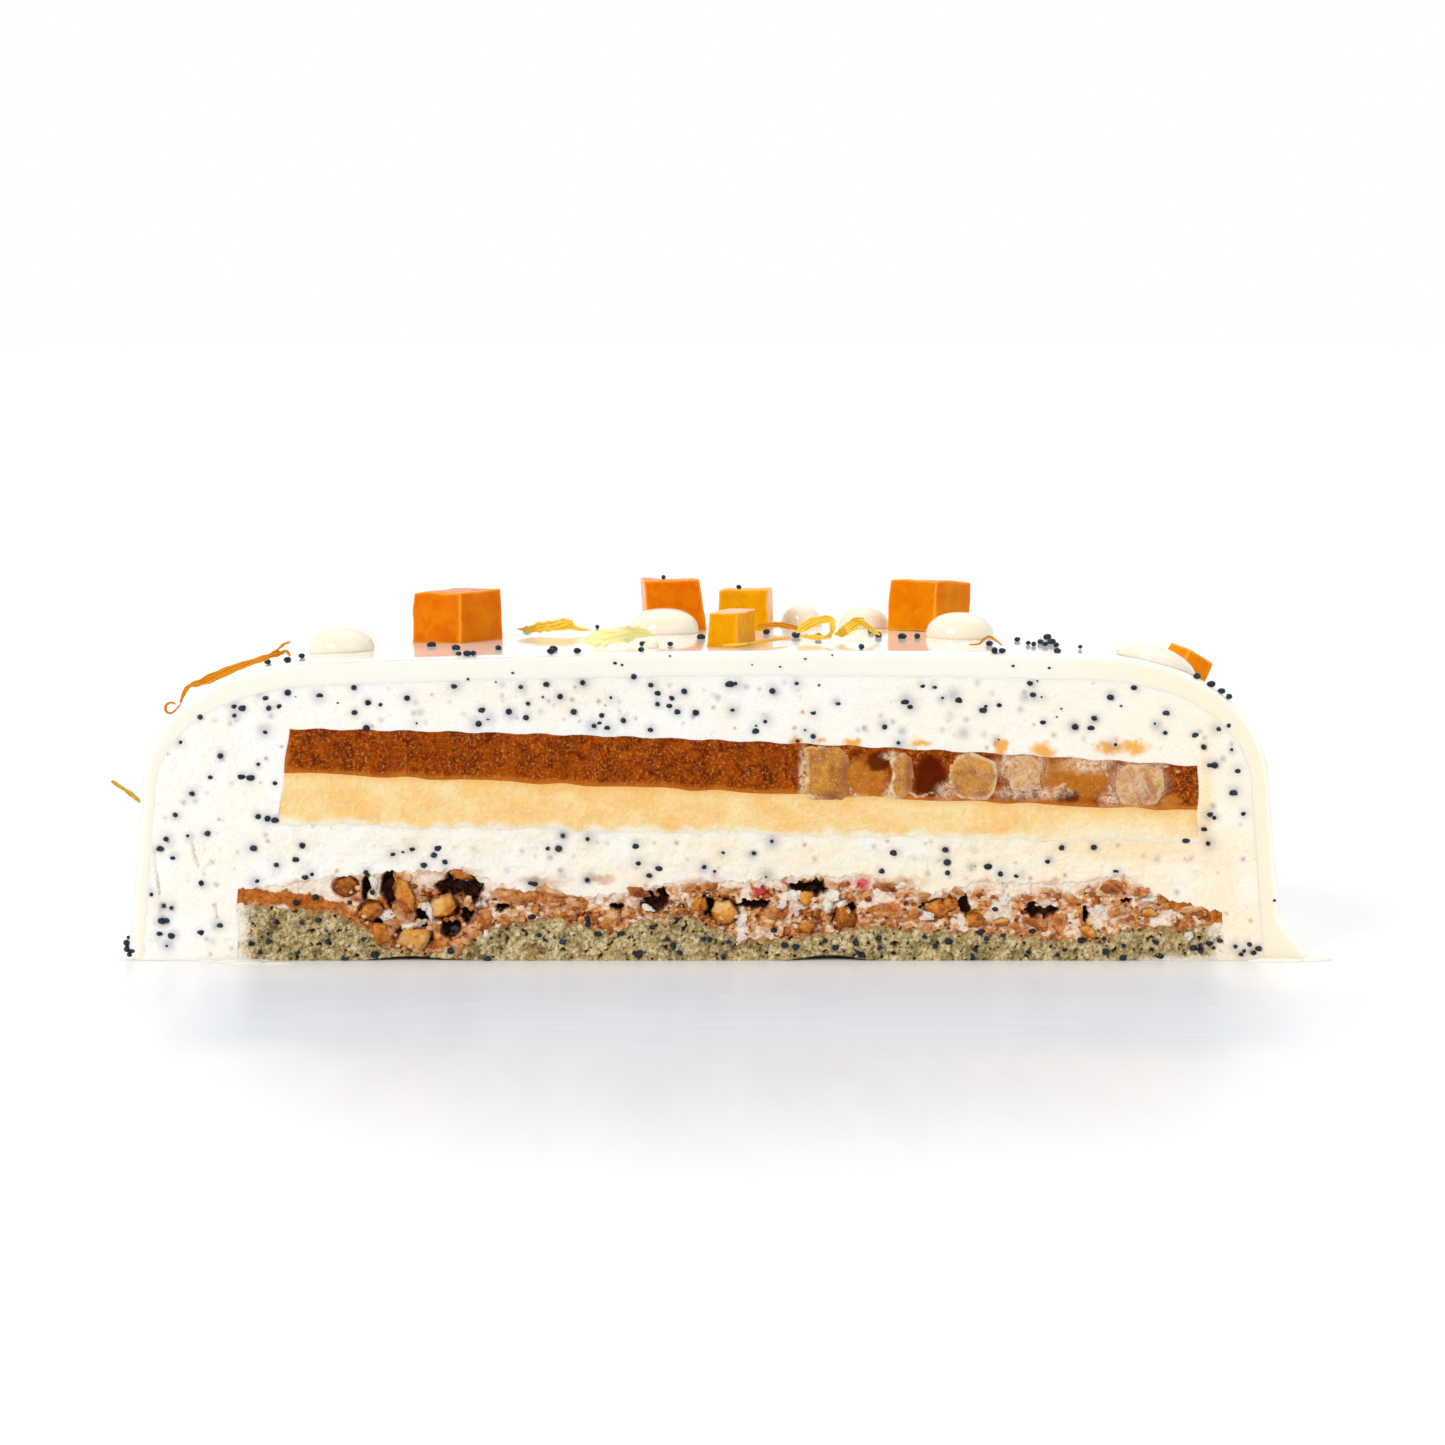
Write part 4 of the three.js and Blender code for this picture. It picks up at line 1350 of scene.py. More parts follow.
@dataclass
class WhiteGlaze:
    """The glaze: an open shell over the mousse, with its foot at the right end of the cut."""

    step: float = 0.55
    edge_round: float = 1.0
    foot_reach: float = 3.8
    foot_height: float = 6.5
    foot_width: float = 11.0
    glow_reach: float = 5.0
    face_spacing: float = 0.42
    finish: GlazeFinish = GlazeFinish()
    turns: Array = field(default_factory=lambda: np.concatenate([
        np.array([0, 0.12, 0.3, 0.5, 0.75, 1.0, 1.35, 1.9, 2.8, 4, 5.6, 7.6, 10, 13, 16.5]) / 90,
        np.linspace(0.23, QUARTER, 72),
    ]))

    def side_lines(self, side: Side) -> tuple[Array, Array]:
        """The glaze's inner outline at one end of the cut and at the back, each radius and height.

        Args:
            side: the end of the cut.

        Returns:
            The outline at the cut, and the one at the back.
        """
        inset = FORM.glaze_left if side is Side.LEFT else FORM.glaze_right
        front = FORM.profile(inset, FORM.glaze_on_top, self.step)
        back = FORM.profile(FORM.glaze_behind, FORM.glaze_on_top, self.step)
        along = np.linspace(0, 1, len(front))
        spaced = np.stack([np.interp(along, np.linspace(0, 1, len(back)), back[:, k]) for k in (0, 1)], 1)
        return front, spaced

    def sheet(self, side: Side, front: Array, back: Array) -> Array:
        """Turned sheet from the cut at one side round to the back.

        Args:
            side: the end of the cut.
            front: outline at the cut.
            back: outline at the back.

        Returns:
            A grid of points, one row a turn.
        """
        turned = self.turns[:, None]
        share = np.sin(turned) ** 2
        radius = front[:, 0] * (1 - share) + back[:, 0] * share
        height = front[:, 1] * (1 - share) + back[:, 1] * share
        x = side.value * radius * np.cos(turned)
        return np.stack([x, radius * np.sin(turned), FORM.leaning(x, height)], axis=2)

    def crown(self, top_inset: float) -> Array:
        """Sheet over the middle, in rows that run along the cut.

        Args:
            top_inset: how far it lies under the top of the glaze.

        Returns:
            A grid of points, one row a turn.
        """
        start = FORM.shoulder_start
        across = np.linspace(-start, start, round(2 * start / self.step) + 1)
        x = across * np.cos(self.turns)[:, None]
        y = np.broadcast_to(start * np.sin(self.turns)[:, None], x.shape)
        height = FORM.outline_height(np.minimum(np.hypot(x, y), start), 0, top_inset)
        return np.stack([x, y, FORM.leaning(x, height)], axis=2)

    def outside(self) -> dict[Side, Array]:
        """The outer sheets of both sides."""
        line = FORM.profile(0, 0, self.step)
        return {side: self.sheet(side, line, line) for side in Side}

    def inside(self) -> dict[Side, Array]:
        """The inner sheets of both sides."""
        return {side: self.sheet(side, *self.side_lines(side)) for side in Side}

    @staticmethod
    def arch(sides: dict[Side, Array], crown: Array) -> Array:
        """Line of the front edges from the left end over the top to the right end, x and z.

        Args:
            sides: the sheets of both sides.
            crown: the sheet over the middle.

        Returns:
            The line's places.
        """
        left, right = sides[Side.LEFT][0], sides[Side.RIGHT][0]
        line = np.vstack([left[:-1], crown[0], right[::-1][1:]])
        return line[:, [0, 2]]

    def build(self) -> Piece:
        """Makes the glaze.

        Returns:
            The new object.
        """
        outer, inner = self.outside(), self.inside()
        surface = Surface()
        for sheets, inset in ((outer, 0.0), (inner, FORM.glaze_on_top)):
            for sheet in sheets.values():
                surface.add_grid(sheet)
            surface.add_grid(self.crown(inset))
        for side in Side:
            surface.add_grid(np.stack([outer[side][:, 0], inner[side][:, 0]], axis=1))
        over, under = self.arch(outer, self.crown(0)), self.arch(inner, self.crown(FORM.glaze_on_top))
        band = np.vstack([over, under[::-1]])
        surface.add_cut_face([band], self.face_spacing, 3)
        mesh = surface.mesh("white_glaze")
        points = mesh_points(mesh)
        front = in_face(points)
        depth = FORM.depth(points)
        points = self.shaped(points, depth)
        # painted cool shade along the cut's outer edge, on the left, fading out right of the middle
        rim = front * (1 - eased(depth, 0.05, 0.5)) * (1 - eased(points[:, 0], -40, 10))
        cut = front * eased(depth, 0.3, 1.2)
        warm = np.maximum(eased(points[:, 0], 40, 88), 0.35 * eased(-points[:, 0], 60, 84))
        marks = {"cut": cut, "rim": rim, "warm": warm, "painted_dice_glow": self.painted_dice_glow(points)}
        return finish_piece(mesh, points, self.finish.material(), marks, ["glaze"])

    @staticmethod
    def painted_dice_glow(points: Array) -> Array:
        """How much painted light, as of light through the dice and their reflection, tints each point round
        their feet.

        Args:
            points: places, one row each.

        Returns:
            One share a point.
        """
        found = np.zeros(len(points))
        for die in JellyDice.dice:
            away = np.hypot(points[:, 0] - die.x, points[:, 1] - die.y)
            half = 0.5 * max(die.size[:2])
            found = np.maximum(found, 1 - eased(away, half, half + WhiteGlaze.glow_reach))
        return found

    def shaped(self, points: Array, depth: Array) -> Array:
        """The glaze's points after its uneven surface, its soft cut edge and its foot.

        Args:
            points: places on the plain shell.
            depth: how deep each lies under the outer surface.

        Returns:
            The new places.
        """
        outward = self.outward(points)
        skin = 1 - eased(depth, 0.2, 2.4)
        uneven = 0.16 * spread_noise(points, 22, 1) + 0.04 * spread_noise(points, 6, 2)
        away = np.clip(self.edge_round - np.maximum(depth, 0), 0, None)
        forward = np.clip(self.edge_round - points[:, 1], 0, None)
        corner = (away > 0) & (forward > 0)
        scale = np.where(corner, np.maximum(away, forward) / np.maximum(np.hypot(away, forward), TINY), 1)
        inwards = np.where(corner, away * (1 - scale), 0)
        points = points + outward * (skin * uneven - inwards)[:, None]
        points[:, 1] += np.where(corner, forward * (1 - scale), 0)
        wavy = 0.1 * spread_noise(points, (7, 7, 2.5), 5, 2)
        points[:, 1] += np.where(points[:, 1] < 0.05, np.abs(wavy) * eased(depth, 0.2, 1), 0)
        around = np.arctan2(points[:, 1], points[:, 0]) * FORM.base_radius
        tall = np.clip(points[:, 2] / self.foot_height, 0, 1)
        swell = self.foot_reach * (1 - tall**1.3) * np.exp(-((around / self.foot_width) ** 2))
        outer = eased(np.hypot(points[:, 0], points[:, 1]), FORM.base_radius - 3, FORM.base_radius - 0.6)
        points[:, 0] += swell * outer * (1 + 0.25 * spread_noise(points, 3, 4))
        points[:, 2] = np.maximum(points[:, 2], 0)
        return points

    @staticmethod
    def outward(points: Array) -> Array:
        """Direction out of the cake at each point.

        Args:
            points: places, one row each.

        Returns:
            One direction a point.
        """
        step = 0.05
        base = FORM.depth(points)
        slopes = [(FORM.depth(points + np.eye(3)[k] * step) - base) / step for k in range(3)]
        direction = -np.stack(slopes, 1)
        return direction / np.maximum(np.linalg.norm(direction, axis=1), 1e-6)[:, None]


@dataclass
class SeedDraw:
    """Places of the poppy seeds that show in the cut; those measured are a photo pixel each."""

    measured: tuple[Pair, ...] = (
        (354, 688), (320, 695), (367, 703), (381, 705), (407, 698), (355, 713), (422, 712), (416, 723),
        (367, 728), (455, 687), (479, 724), (481, 711), (509, 712), (521, 687), (528, 704), (526, 718),
        (546, 685), (560, 697), (574, 712), (583, 683), (611, 698), (602, 716), (600, 723), (607, 728),
        (594, 726), (634, 677), (651, 685), (657, 693), (658, 704), (669, 706), (676, 712), (673, 699),
        (684, 691), (695, 713), (730, 684), (736, 684), (732, 710), (650, 730), (756, 731), (757, 726),
        (765, 722), (797, 684), (797, 741), (922, 686), (934, 687), (943, 698), (952, 696), (958, 700),
        (838, 704), (905, 702), (910, 707), (952, 714), (983, 711), (985, 706), (1000, 705), (813, 713),
        (1025, 696), (1033, 695), (1042, 697), (1031, 684), (1110, 697), (1134, 688), (885, 727),
        (901, 733), (899, 743), (962, 732), (806, 730), (813, 737), (1075, 727), (1091, 728),
        (1094, 718), (1043, 723), (1166, 713), (1155, 724), (1165, 733), (1196, 735), (1204, 747),
        (1218, 729), (1229, 726), (1233, 750), (1115, 745), (998, 740), (259, 693), (266, 698),
        (278, 707), (269, 708), (288, 693), (235, 707), (242, 709), (234, 716), (200, 717), (266, 733),
        (258, 765), (220, 756), (241, 778), (250, 779), (275, 784), (210, 778), (191, 794), (175, 816),
        (257, 818), (267, 819), (274, 821), (165, 840), (187, 837), (206, 835), (303, 846), (275, 866),
        (200, 885), (255, 883), (304, 879), (311, 876), (150, 896), (162, 908), (169, 910), (160, 923),
        (165, 923), (218, 927), (198, 935), (158, 936), (159, 850), (171, 859), (181, 743), (164, 948),
        (302, 847), (365, 874), (392, 855), (412, 851), (437, 850), (434, 856), (424, 867), (445, 863),
        (547, 850), (558, 850), (560, 876), (530, 885), (534, 886), (587, 882), (724, 854), (754, 854),
        (639, 865), (658, 870), (705, 868), (714, 873), (767, 878), (881, 872), (895, 854), (946, 851),
        (948, 874), (974, 851), (989, 868), (1002, 875), (1018, 877), (1094, 849), (1050, 863),
        (1117, 873), (1234, 793), (1245, 815), (1210, 816), (1215, 819), (1205, 830), (1187, 842),
        (1210, 766), (1215, 766), (1238, 949), (1246, 953), (1251, 947), (1256, 955), (1243, 957),
        (1261, 951),
    )
    shown: int = 186
    buried: int = 130
    room: float = 1.6

    def in_mousse(self, x: Array, z: Array) -> Array:
        """True where a seed keeps clear of the glaze, the insert and the crunch.

        Args:
            x: places along the cut.
            z: their heights.

        Returns:
            One truth value a place.
        """
        room = 0.75
        zero = np.zeros_like(x)
        inner = FORM.leaning(x, FORM.outline_height(np.abs(x), FORM.glaze_behind, FORM.glaze_on_top))
        under = (z < inner - room) & (np.abs(x) < FORM.side_top_radius - FORM.glaze_behind - room)
        insert = (np.abs(x - INSERT.centre) < INSERT.radius + room) & (z < FORM.jelly_top(x, zero) + room)
        insert &= z > FORM.cream_bottom(x, zero) - room
        base = (np.abs(x - BASE.centre) < BASE.radius + room) & (z < FORM.crunch_top(x, zero) + 1.4 * room)
        return under & ~insert & ~base & (z > room)

    def places(self) -> tuple[Array, Array]:
        """Seeds that break the surface, and seeds that only show through it, as x and z.

        Returns:
            Both kinds.
        """
        draw = np.random.default_rng(8)
        chosen = [on_cut(*p) for p in self.measured]
        buried: list[Pair] = []
        while len(buried) < self.buried:
            x, z = draw.uniform(-88, 88), draw.uniform(0, FORM.height)
            if not self.in_mousse(np.array([x]), np.array([z]))[0]:
                continue
            free = all(math.hypot(a - x, b - z) > self.room for a, b in chosen)
            if len(chosen) < self.shown and free:
                chosen.append((x, z))
            elif len(chosen) >= self.shown:
                buried.append((x, z))
        return np.array(chosen), np.array(buried)


@dataclass
class PoppyMousse:
    """The mousse: everything between the glaze, the insert and the base."""

    seeds: Array
    buried: Array
    shell: WhiteGlaze = field(default_factory=lambda: WhiteGlaze(turns=BACK_TURNS))
    torn: tuple[Spot, ...] = (
        (205, 855, 10, 20), (246, 922, 3, 18), (1262, 954, 9, 6), (300, 868, 16, 5), (930, 862, 22, 5),
        (165, 915, 10, 16),
    )
    cracks: tuple[tuple[float, ...], ...] = (
        (154, 848, 155, 868, 158, 896), (192, 845, 194, 858, 198, 868), (214, 905, 216, 920),
    )
    juice: tuple[Spot, ...] = (
        (851, 744, 8, 6), (922, 743, 9, 5), (1001, 748, 7, 11), (1044, 751, 12, 9), (1110, 748, 14, 7),
        (1134, 747, 14, 7), (797, 742, 8, 3), (820, 741, 6, 2),
    )
    caramel: tuple[Spot, ...] = (
        (300, 885, 15, 3), (270, 892, 8, 2), (460, 874, 18, 4), (540, 884, 22, 5), (600, 880, 14, 4),
        (700, 884, 20, 5), (862, 879, 10, 4), (905, 886, 16, 6), (1050, 886, 10, 4), (1110, 884, 22, 6),
        (985, 884, 12, 4),
    )
    face_spacing: float = 0.34
    pits: int = 420
    specks: int = 90
    finish: MousseFinish = MousseFinish()

    def build(self) -> Piece:
        """Makes the mousse.

        Returns:
            The new object.
        """
        inner = self.shell.inside()
        crown = self.shell.crown(FORM.glaze_on_top)
        surface = Surface()
        for sheet in inner.values():
            surface.add_grid(sheet)
        surface.add_grid(crown)
        surface.add_grid(INSERT.skin(self.shell.turns))
        base = BASE.skin(self.shell.turns)
        _, high = BASE.outline()
        wall = np.flatnonzero(high > 0)
        corners = [int(np.flatnonzero(high == 0)[-1]), *wall.tolist(), len(high)]
        surface.add_grid(base[:, corners])
        ends = {Side.RIGHT: base[:, corners[0]], Side.LEFT: base[:, corners[-1]]}
        for side in Side:
            surface.add_grid(np.stack([inner[side][:, 0], ends[side]], axis=1))
        border = np.vstack([self.shell.arch(inner, crown), base[0][corners][:, [0, 2]]])
        surface.add_cut_face([border, INSERT.loop()], self.face_spacing, 5)
        mesh = surface.mesh("poppy_mousse")
        points = mesh_points(mesh)
        marks = self.marks(points)
        tree = search_tree(np.column_stack([border[:, 0], np.zeros(len(border)), border[:, 1]]))
        away = np.array([tree.find(place)[2] for place in points.tolist()])
        points = behind_face(points, self.relief(points) * eased(away, 0.1, 1.6))
        return finish_piece(mesh, points, self.finish.material(), marks, ["mousse"])

    def relief(self, points: Array) -> Array:
        """How far the cut face lies behind the flat cut: knife streaks, pits and torn places.

        Args:
            points: places, one row each.

        Returns:
            One distance a point.
        """
        smooth = 0.12 * spread_noise(points, (14, 9, 9), 11) + 0.07 * spread_noise(points, (6, 6, 0.8), 12, 2)
        curdled = eased(24 - points[:, 2], 0, 5) * eased(points[:, 0], -74, -66)
        curdled = np.maximum(curdled, 0.55 * (1 - eased(points[:, 0], -74, -66))) + 0.12
        rough = curdled * (0.22 * spread_noise(points, 2.2, 18, 3) + 0.12 * spread_noise(points, 0.9, 14, 2))
        torn = spots(points, self.torn, 0.6) * (0.5 * spread_noise(points, 1.1, 13, 3) + 0.2)
        cracks = 0.7 * strokes(points, self.cracks, 0.3)
        draw = np.random.default_rng(17)
        pits = np.zeros(len(points))
        for _ in range(self.pits):
            x, z, size = draw.uniform(-88, 88), draw.uniform(1, 45), draw.uniform(0.15, 0.42)
            away = np.hypot(points[:, 0] - x, (points[:, 2] - z) * draw.uniform(0.8, 1.5))
            pits = np.maximum(pits, 0.9 * size * (1 - eased(away, 0.3 * size, 1.1 * size)))
        return smooth + rough + torn + cracks + pits

    def marks(self, points: Array) -> dict[str, Array]:
        """The colour marks of the mousse: stains, warm zones, fruit juice, caramel and rusty specks.

        Args:
            points: places, one row each.

        Returns:
            The marks by name, one value a point each.
        """
        stain = np.zeros(len(points))
        draw = np.random.default_rng(23)
        for places, reach, strength in ((self.seeds, 1.0, 0.5), (self.buried, 0.42, 0.6)):
            for x, z in places + draw.uniform(-0.3, 0.3, places.shape):
                away = np.hypot(points[:, 0] - x, points[:, 2] - z)
                size = reach * draw.uniform(0.6, 1.3)
                stain = np.maximum(stain, strength * draw.uniform(0.4, 1) * np.exp(-((away / size) ** 2)))
        rust = np.zeros(len(points))
        for _ in range(self.specks):
            x, z, size = draw.uniform(-86, 86), draw.uniform(3, 44), draw.uniform(0.14, 0.34)
            away = np.hypot(points[:, 0] - x, points[:, 2] - z)
            rust = np.maximum(rust, 0.8 * np.exp(-((away / size) ** 2)))
        patch = 0.5 + 0.5 * spread_noise(points, 7, 24, 2)
        warm = eased(points[:, 0], 0, 80) * 0.55 + 0.25 * patch
        warm = np.maximum(warm, 0.5 * spots(points, ((560, 690, 130, 24), (960, 720, 160, 26)), 0.8))
        low = (30 - points[:, 2]) / 12
        peach = 0.8 * spots(points, ((1206, 812, 8, 52), (1130, 850, 90, 14)), 0.9)
        peach = np.maximum(peach, 0.5 * patch * spots(points, ((760, 846, 440, 14),), 0.9))
        peach = np.maximum(peach, 0.5 * patch * eased(low, 0.6, 1) * eased(points[:, 0], -60, 0))
        warped = points + 0.8 * spread_noise(points, 1.3, 25, 3)[:, None]
        front = in_face(points)
        return {
            "stain": stain * front, "rust": rust * front, "warm": np.clip(warm, 0, 1), "peach": peach * front,
            "fruit": 0.95 * spots(warped, self.juice, 0.45) * front,
            "tan": 0.7 * spots(warped, self.caramel, 0.7) * front,
        }


@dataclass(frozen=True)
class FruitPiece:
    """A piece of cooked apricot in the jelly: its outline in photo pixels and how it was cut."""

    outline: tuple[Pair, ...]
    rim: float
    rim_side: float
    pale: float
    brown: tuple[Spot, ...] = ()


@dataclass
class ApricotInsert:
    """Brown jelly over pale cream, with pieces of cooked fruit set in the jelly."""

    fruit: tuple[FruitPiece, ...] = (
        FruitPiece(
            ((804, 748), (818, 746), (837, 747), (847, 752), (850, 763), (846, 778), (851, 792), (843, 800),
             (826, 801), (811, 800), (804, 795), (806, 772)), 0.75, -1.0, 0.15,
            ((848, 775, 8, 22), (832, 798, 10, 6)),
        ),
        FruitPiece(
            ((890, 762), (896, 754), (905, 753), (912, 758), (914, 775), (912, 790), (904, 800), (894, 800),
             (889, 788), (893, 775)), 0.95, -1.0, 0.2, ((910, 775, 4, 24),),
        ),
        FruitPiece(
            ((950, 765), (957, 757), (970, 752), (984, 757), (996, 763), (998, 778), (995, 793), (988, 800),
             (974, 801), (961, 799), (951, 792), (949, 779)), 0.6, 0.0, 0.3,
        ),
        FruitPiece(
            ((1006, 762), (1018, 756), (1034, 757), (1041, 766), (1040, 784), (1028, 792), (1012, 790),
             (1006, 778)), 0.2, 0.0, 1.0,
        ),
        FruitPiece(
            ((1117, 772), (1128, 765), (1148, 764), (1163, 770), (1165, 790), (1158, 804), (1138, 808),
             (1122, 804), (1116, 790)), 0.35, 0.0, 0.9, ((1150, 795, 8, 8),),
        ),
    )
    fruit_depth: float = 8.0
    fruit_spacing: float = 0.26
    jelly_spacing: float = 0.32
    cream_spacing: float = 0.34
    windows: tuple[Spot, ...] = (
        (930, 778, 16, 22), (1016, 796, 16, 8), (1068, 798, 12, 8), (878, 762, 12, 10),
    )
    amber: tuple[Spot, ...] = (
        (866, 778, 22, 20), (1075, 780, 34, 22), (1171, 803, 10, 7), (916, 800, 12, 5),
    )
    haze: tuple[Spot, ...] = (
        (803, 772, 3.5, 24), (858, 802, 12, 5), (892, 794, 8, 9), (946, 792, 9, 8), (1022, 768, 22, 16),
        (1032, 794, 34, 6), (1088, 765, 24, 8), (1138, 784, 24, 22), (1112, 800, 10, 8), (1160, 770, 5, 9),
        (1100, 758, 20, 5), (890, 757, 8, 4), (806, 795, 5, 6),
    )
    scratches: tuple[tuple[float, ...], ...] = (
        (1005, 788, 1018, 786, 1030, 791, 1041, 786), (1012, 798, 1026, 794, 1046, 799),
        (1050, 790, 1062, 786, 1074, 792), (1078, 768, 1092, 771, 1104, 766), (856, 802, 862, 794, 868, 802),
        (850, 788, 855, 800, 866, 806), (1008, 744, 1004, 760, 1002, 780), (1150, 770, 1168, 766, 1180, 772),
        (908, 793, 920, 797, 934, 794), (968, 753, 982, 760, 996, 766), (1104, 768, 1112, 784, 1110, 802),
    )

    def build(self) -> None:
        """Makes the jelly, the cream and the fruit pieces."""
        self.jelly()
        self.cream()
        material = FruitFinish().material()
        for number, piece in enumerate(self.fruit, 1):
            self.fruit_piece(number, piece, material)

    def jelly(self) -> Piece:
        """Makes the jelly layer.

        Returns:
            The new object.
        """
        mesh = solid_layer(JELLY, self.jelly_spacing, 31).mesh("apricot_jelly_layer")
        points = mesh_points(mesh)
        low = points[:, 2] - cut_height(FORM.jelly_bottom, points)
        left = points[:, 0] - (JELLY.centre - JELLY.radius)
        rim = 1 - eased(np.minimum(low, left) + 0.3 * spread_noise(points, 1.2, 34, 2), 0.1, 1.1)
        warped = points + 0.45 * spread_noise(points, 1.4, 30, 3)[:, None]
        broken = eased(spread_noise(points, 1.2, 39, 2), -0.35, 0.1)
        marks = {
            "rim": rim, "window": spots(warped, self.windows, 0.2), "amber": spots(warped, self.amber, 0.25),
            "haze": 0.95 * spots(warped, self.haze, 0.6),
            "scratch": 0.7 * strokes(warped, self.scratches, 0.2) * broken,
        }
        relief = 0.1 * spread_noise(points, 2.5, 32, 2) + 0.09 * spread_noise(points, 0.8, 33, 2) + 0.06
        points = behind_face(points, relief - 0.12 * marks["scratch"])
        return finish_piece(mesh, points, JellyFinish().material(), marks, ["apricot_jelly"])

    def cream(self) -> Piece:
        """Makes the cream layer.

        Returns:
            The new object.
        """
        mesh = solid_layer(CREAM, self.cream_spacing, 35).mesh("apricot_cream_layer")
        points = mesh_points(mesh)
        low = points[:, 2] - cut_height(FORM.cream_bottom, points)
        patchy = spread_noise(points, 3, 36, 3)
        milk = 0.85 * (1 - eased(low + 0.8 * patchy, 0.0, 1.3))
        milk = np.maximum(milk, 0.6 * spots(points, ((1120, 838, 80, 12),), 0.8))
        orange = spots(points, ((1200, 815, 10, 28), (600, 785, 60, 8)), 0.8)
        high = cut_height(FORM.jelly_bottom, points) - points[:, 2]
        orange = np.maximum(0.55 * orange, 0.45 * (1 - eased(high, 0.2, 1.4)))
        relief = 0.12 * spread_noise(points, (6, 6, 2), 37, 2) + 0.1 * spread_noise(points, 0.9, 38, 2)
        points = behind_face(points, relief + 0.04)
        marks = {"milk": milk, "orange": orange}
        return finish_piece(mesh, points, CreamFinish().material(), marks, ["apricot_cream"])

    def fruit_piece(self, number: int, piece: FruitPiece, material: Material) -> Piece:
        """Makes one piece of fruit: a flat cut face and a rounded back.

        Args:
            number: which CAD fruit piece it stands for.
            piece: its outline and looks.
            material: its finish.

        Returns:
            The new object.
        """
        corners = np.array([on_cut(*corner) for corner in piece.outline])
        shape = resampled(np.concatenate([corners, corners[:1]]), 0.28)[:-1]
        upright = np.column_stack([shape[:, 0], np.zeros(len(shape)), shape[:, 1]])
        shape = shape + 0.14 * np.stack([spread_noise(upright, 2, number + k, 2) for k in (0.2, 0.6)], 1)
        middle = shape.mean(0)
        closed = np.vstack([shape, shape[:1]]) - middle
        rows = []
        for back in np.linspace(0, 1, 9):
            size = math.sqrt(max(0.0, 1 - back**2))
            depth = np.full(len(closed), self.fruit_depth * back)
            across, up = (middle + closed * size).T
            rows.append(np.stack([across, depth, up], 1))
        surface = Surface()
        surface.add_grid(np.array(rows))
        surface.add_cut_face([shape], self.fruit_spacing, 200 + number)
        mesh = surface.mesh(f"cooked_apricot_{number}")
        points = mesh_points(mesh)
        rough = spread_noise(points, 1.3, 40 + number, 3)
        border = [tuple(np.array(piece.outline + piece.outline[:1], float).ravel())]
        edge = strokes(points + 0.2 * rough[:, None], border, 0.75)
        across = (points[:, 0] - middle[0]) / max(np.ptp(shape[:, 0]) / 2, 1e-6)
        facing = np.where(piece.rim_side == 0, 1.0, np.clip(0.35 + piece.rim_side * across, 0.1, 1))
        front = in_face(points)
        points[:, 1] += np.where(front, 0.12 * strokes(points, border, 0.5) - 0.1 + 0.07 * rough, 0)
        marks = {
            "rim": piece.rim * edge * facing, "pale": np.clip(piece.pale * (0.9 + 0.5 * rough), 0, 1),
            "brown": 0.85 * spots(points, piece.brown, 0.7),
        }
        return finish_piece(mesh, points, material, marks, [f"fruit_piece_{number}"])


def nut_shape(draw: Draw, sizes: Sequence[float], corners: int,
              detail: int) -> tuple[Array, Array, Array, Array]:
    """A broken nut round the origin: an angular outline, a front of flat facets and a round back.

    Args:
        draw: source of its outline and dents.
        sizes: half width, half depth and half height.
        corners: about how many corners its outline has.
        detail: how finely its ball is divided.

    Returns:
        Points, triangles, how near each point is to the rim of the front, and its facet's tone.
    """
    ball, triangles = round_ball(detail)
    angle = np.arctan2(ball[:, 2], ball[:, 0])
    spacing = np.arange(corners) * 2 * math.pi / corners
    turns = np.sort(draw.uniform(0, CIRCLE / corners * 0.7, corners) + spacing)
    reach = np.full(len(ball), np.inf)
    for turn in turns:
        face = math.cos(math.pi / corners) * draw.uniform(0.86, 1.12)
        reach = np.minimum(reach, face / np.maximum(np.cos(angle - turn), 0.12))
    flat = np.hypot(ball[:, 0], ball[:, 2])
    seed = draw.uniform(0, 40)
    uneven = 1 + 0.12 * spread_noise(ball, 0.8, seed, 2) + 0.06 * spread_noise(ball, 0.3, seed, 2)
    wide = np.minimum(reach, 1.15) * uneven * flat**0.6 / np.maximum(flat, 1e-6)
    shape = np.stack([ball[:, 0] * wide, ball[:, 1], ball[:, 2] * wide], 1)
    front = ball[:, 1] < 0
    slopes = draw.uniform(-0.75, 0.75, (4, 2))
    broken = np.stack([shape[:, [0, 2]] @ slope + draw.uniform(-0.1, 0.15) for slope in slopes])
    facet = broken.max(0) - 0.62 + 0.12 * spread_noise(ball, 0.4, seed + 3, 3)
    shape[:, 1] = np.where(front, np.clip(facet, -0.9, 0.15) * (1 - flat**8), shape[:, 1])
    tones = draw.uniform(-0.16, 0.16, 4)[broken.argmax(0)]
    seam = 1 - eased(broken.max(0) - np.sort(broken, axis=0)[-2], 0.0, 0.12)
    rim = np.where(front, 0.3 * eased(flat, 0.5, 0.8) + 0.7 * eased(flat, 0.8, 0.93), 1.0)
    return shape * np.asarray(sizes), triangles, rim, np.where(front, tones - 0.22 * seam, 0)


class Bit(Enum):
    """Kinds of bit in the crunch, by the name of their piece."""

    ALMOND = "almond_bits"
    TOFFEE = "toffee_bits"
    MILK = "milk_bits"


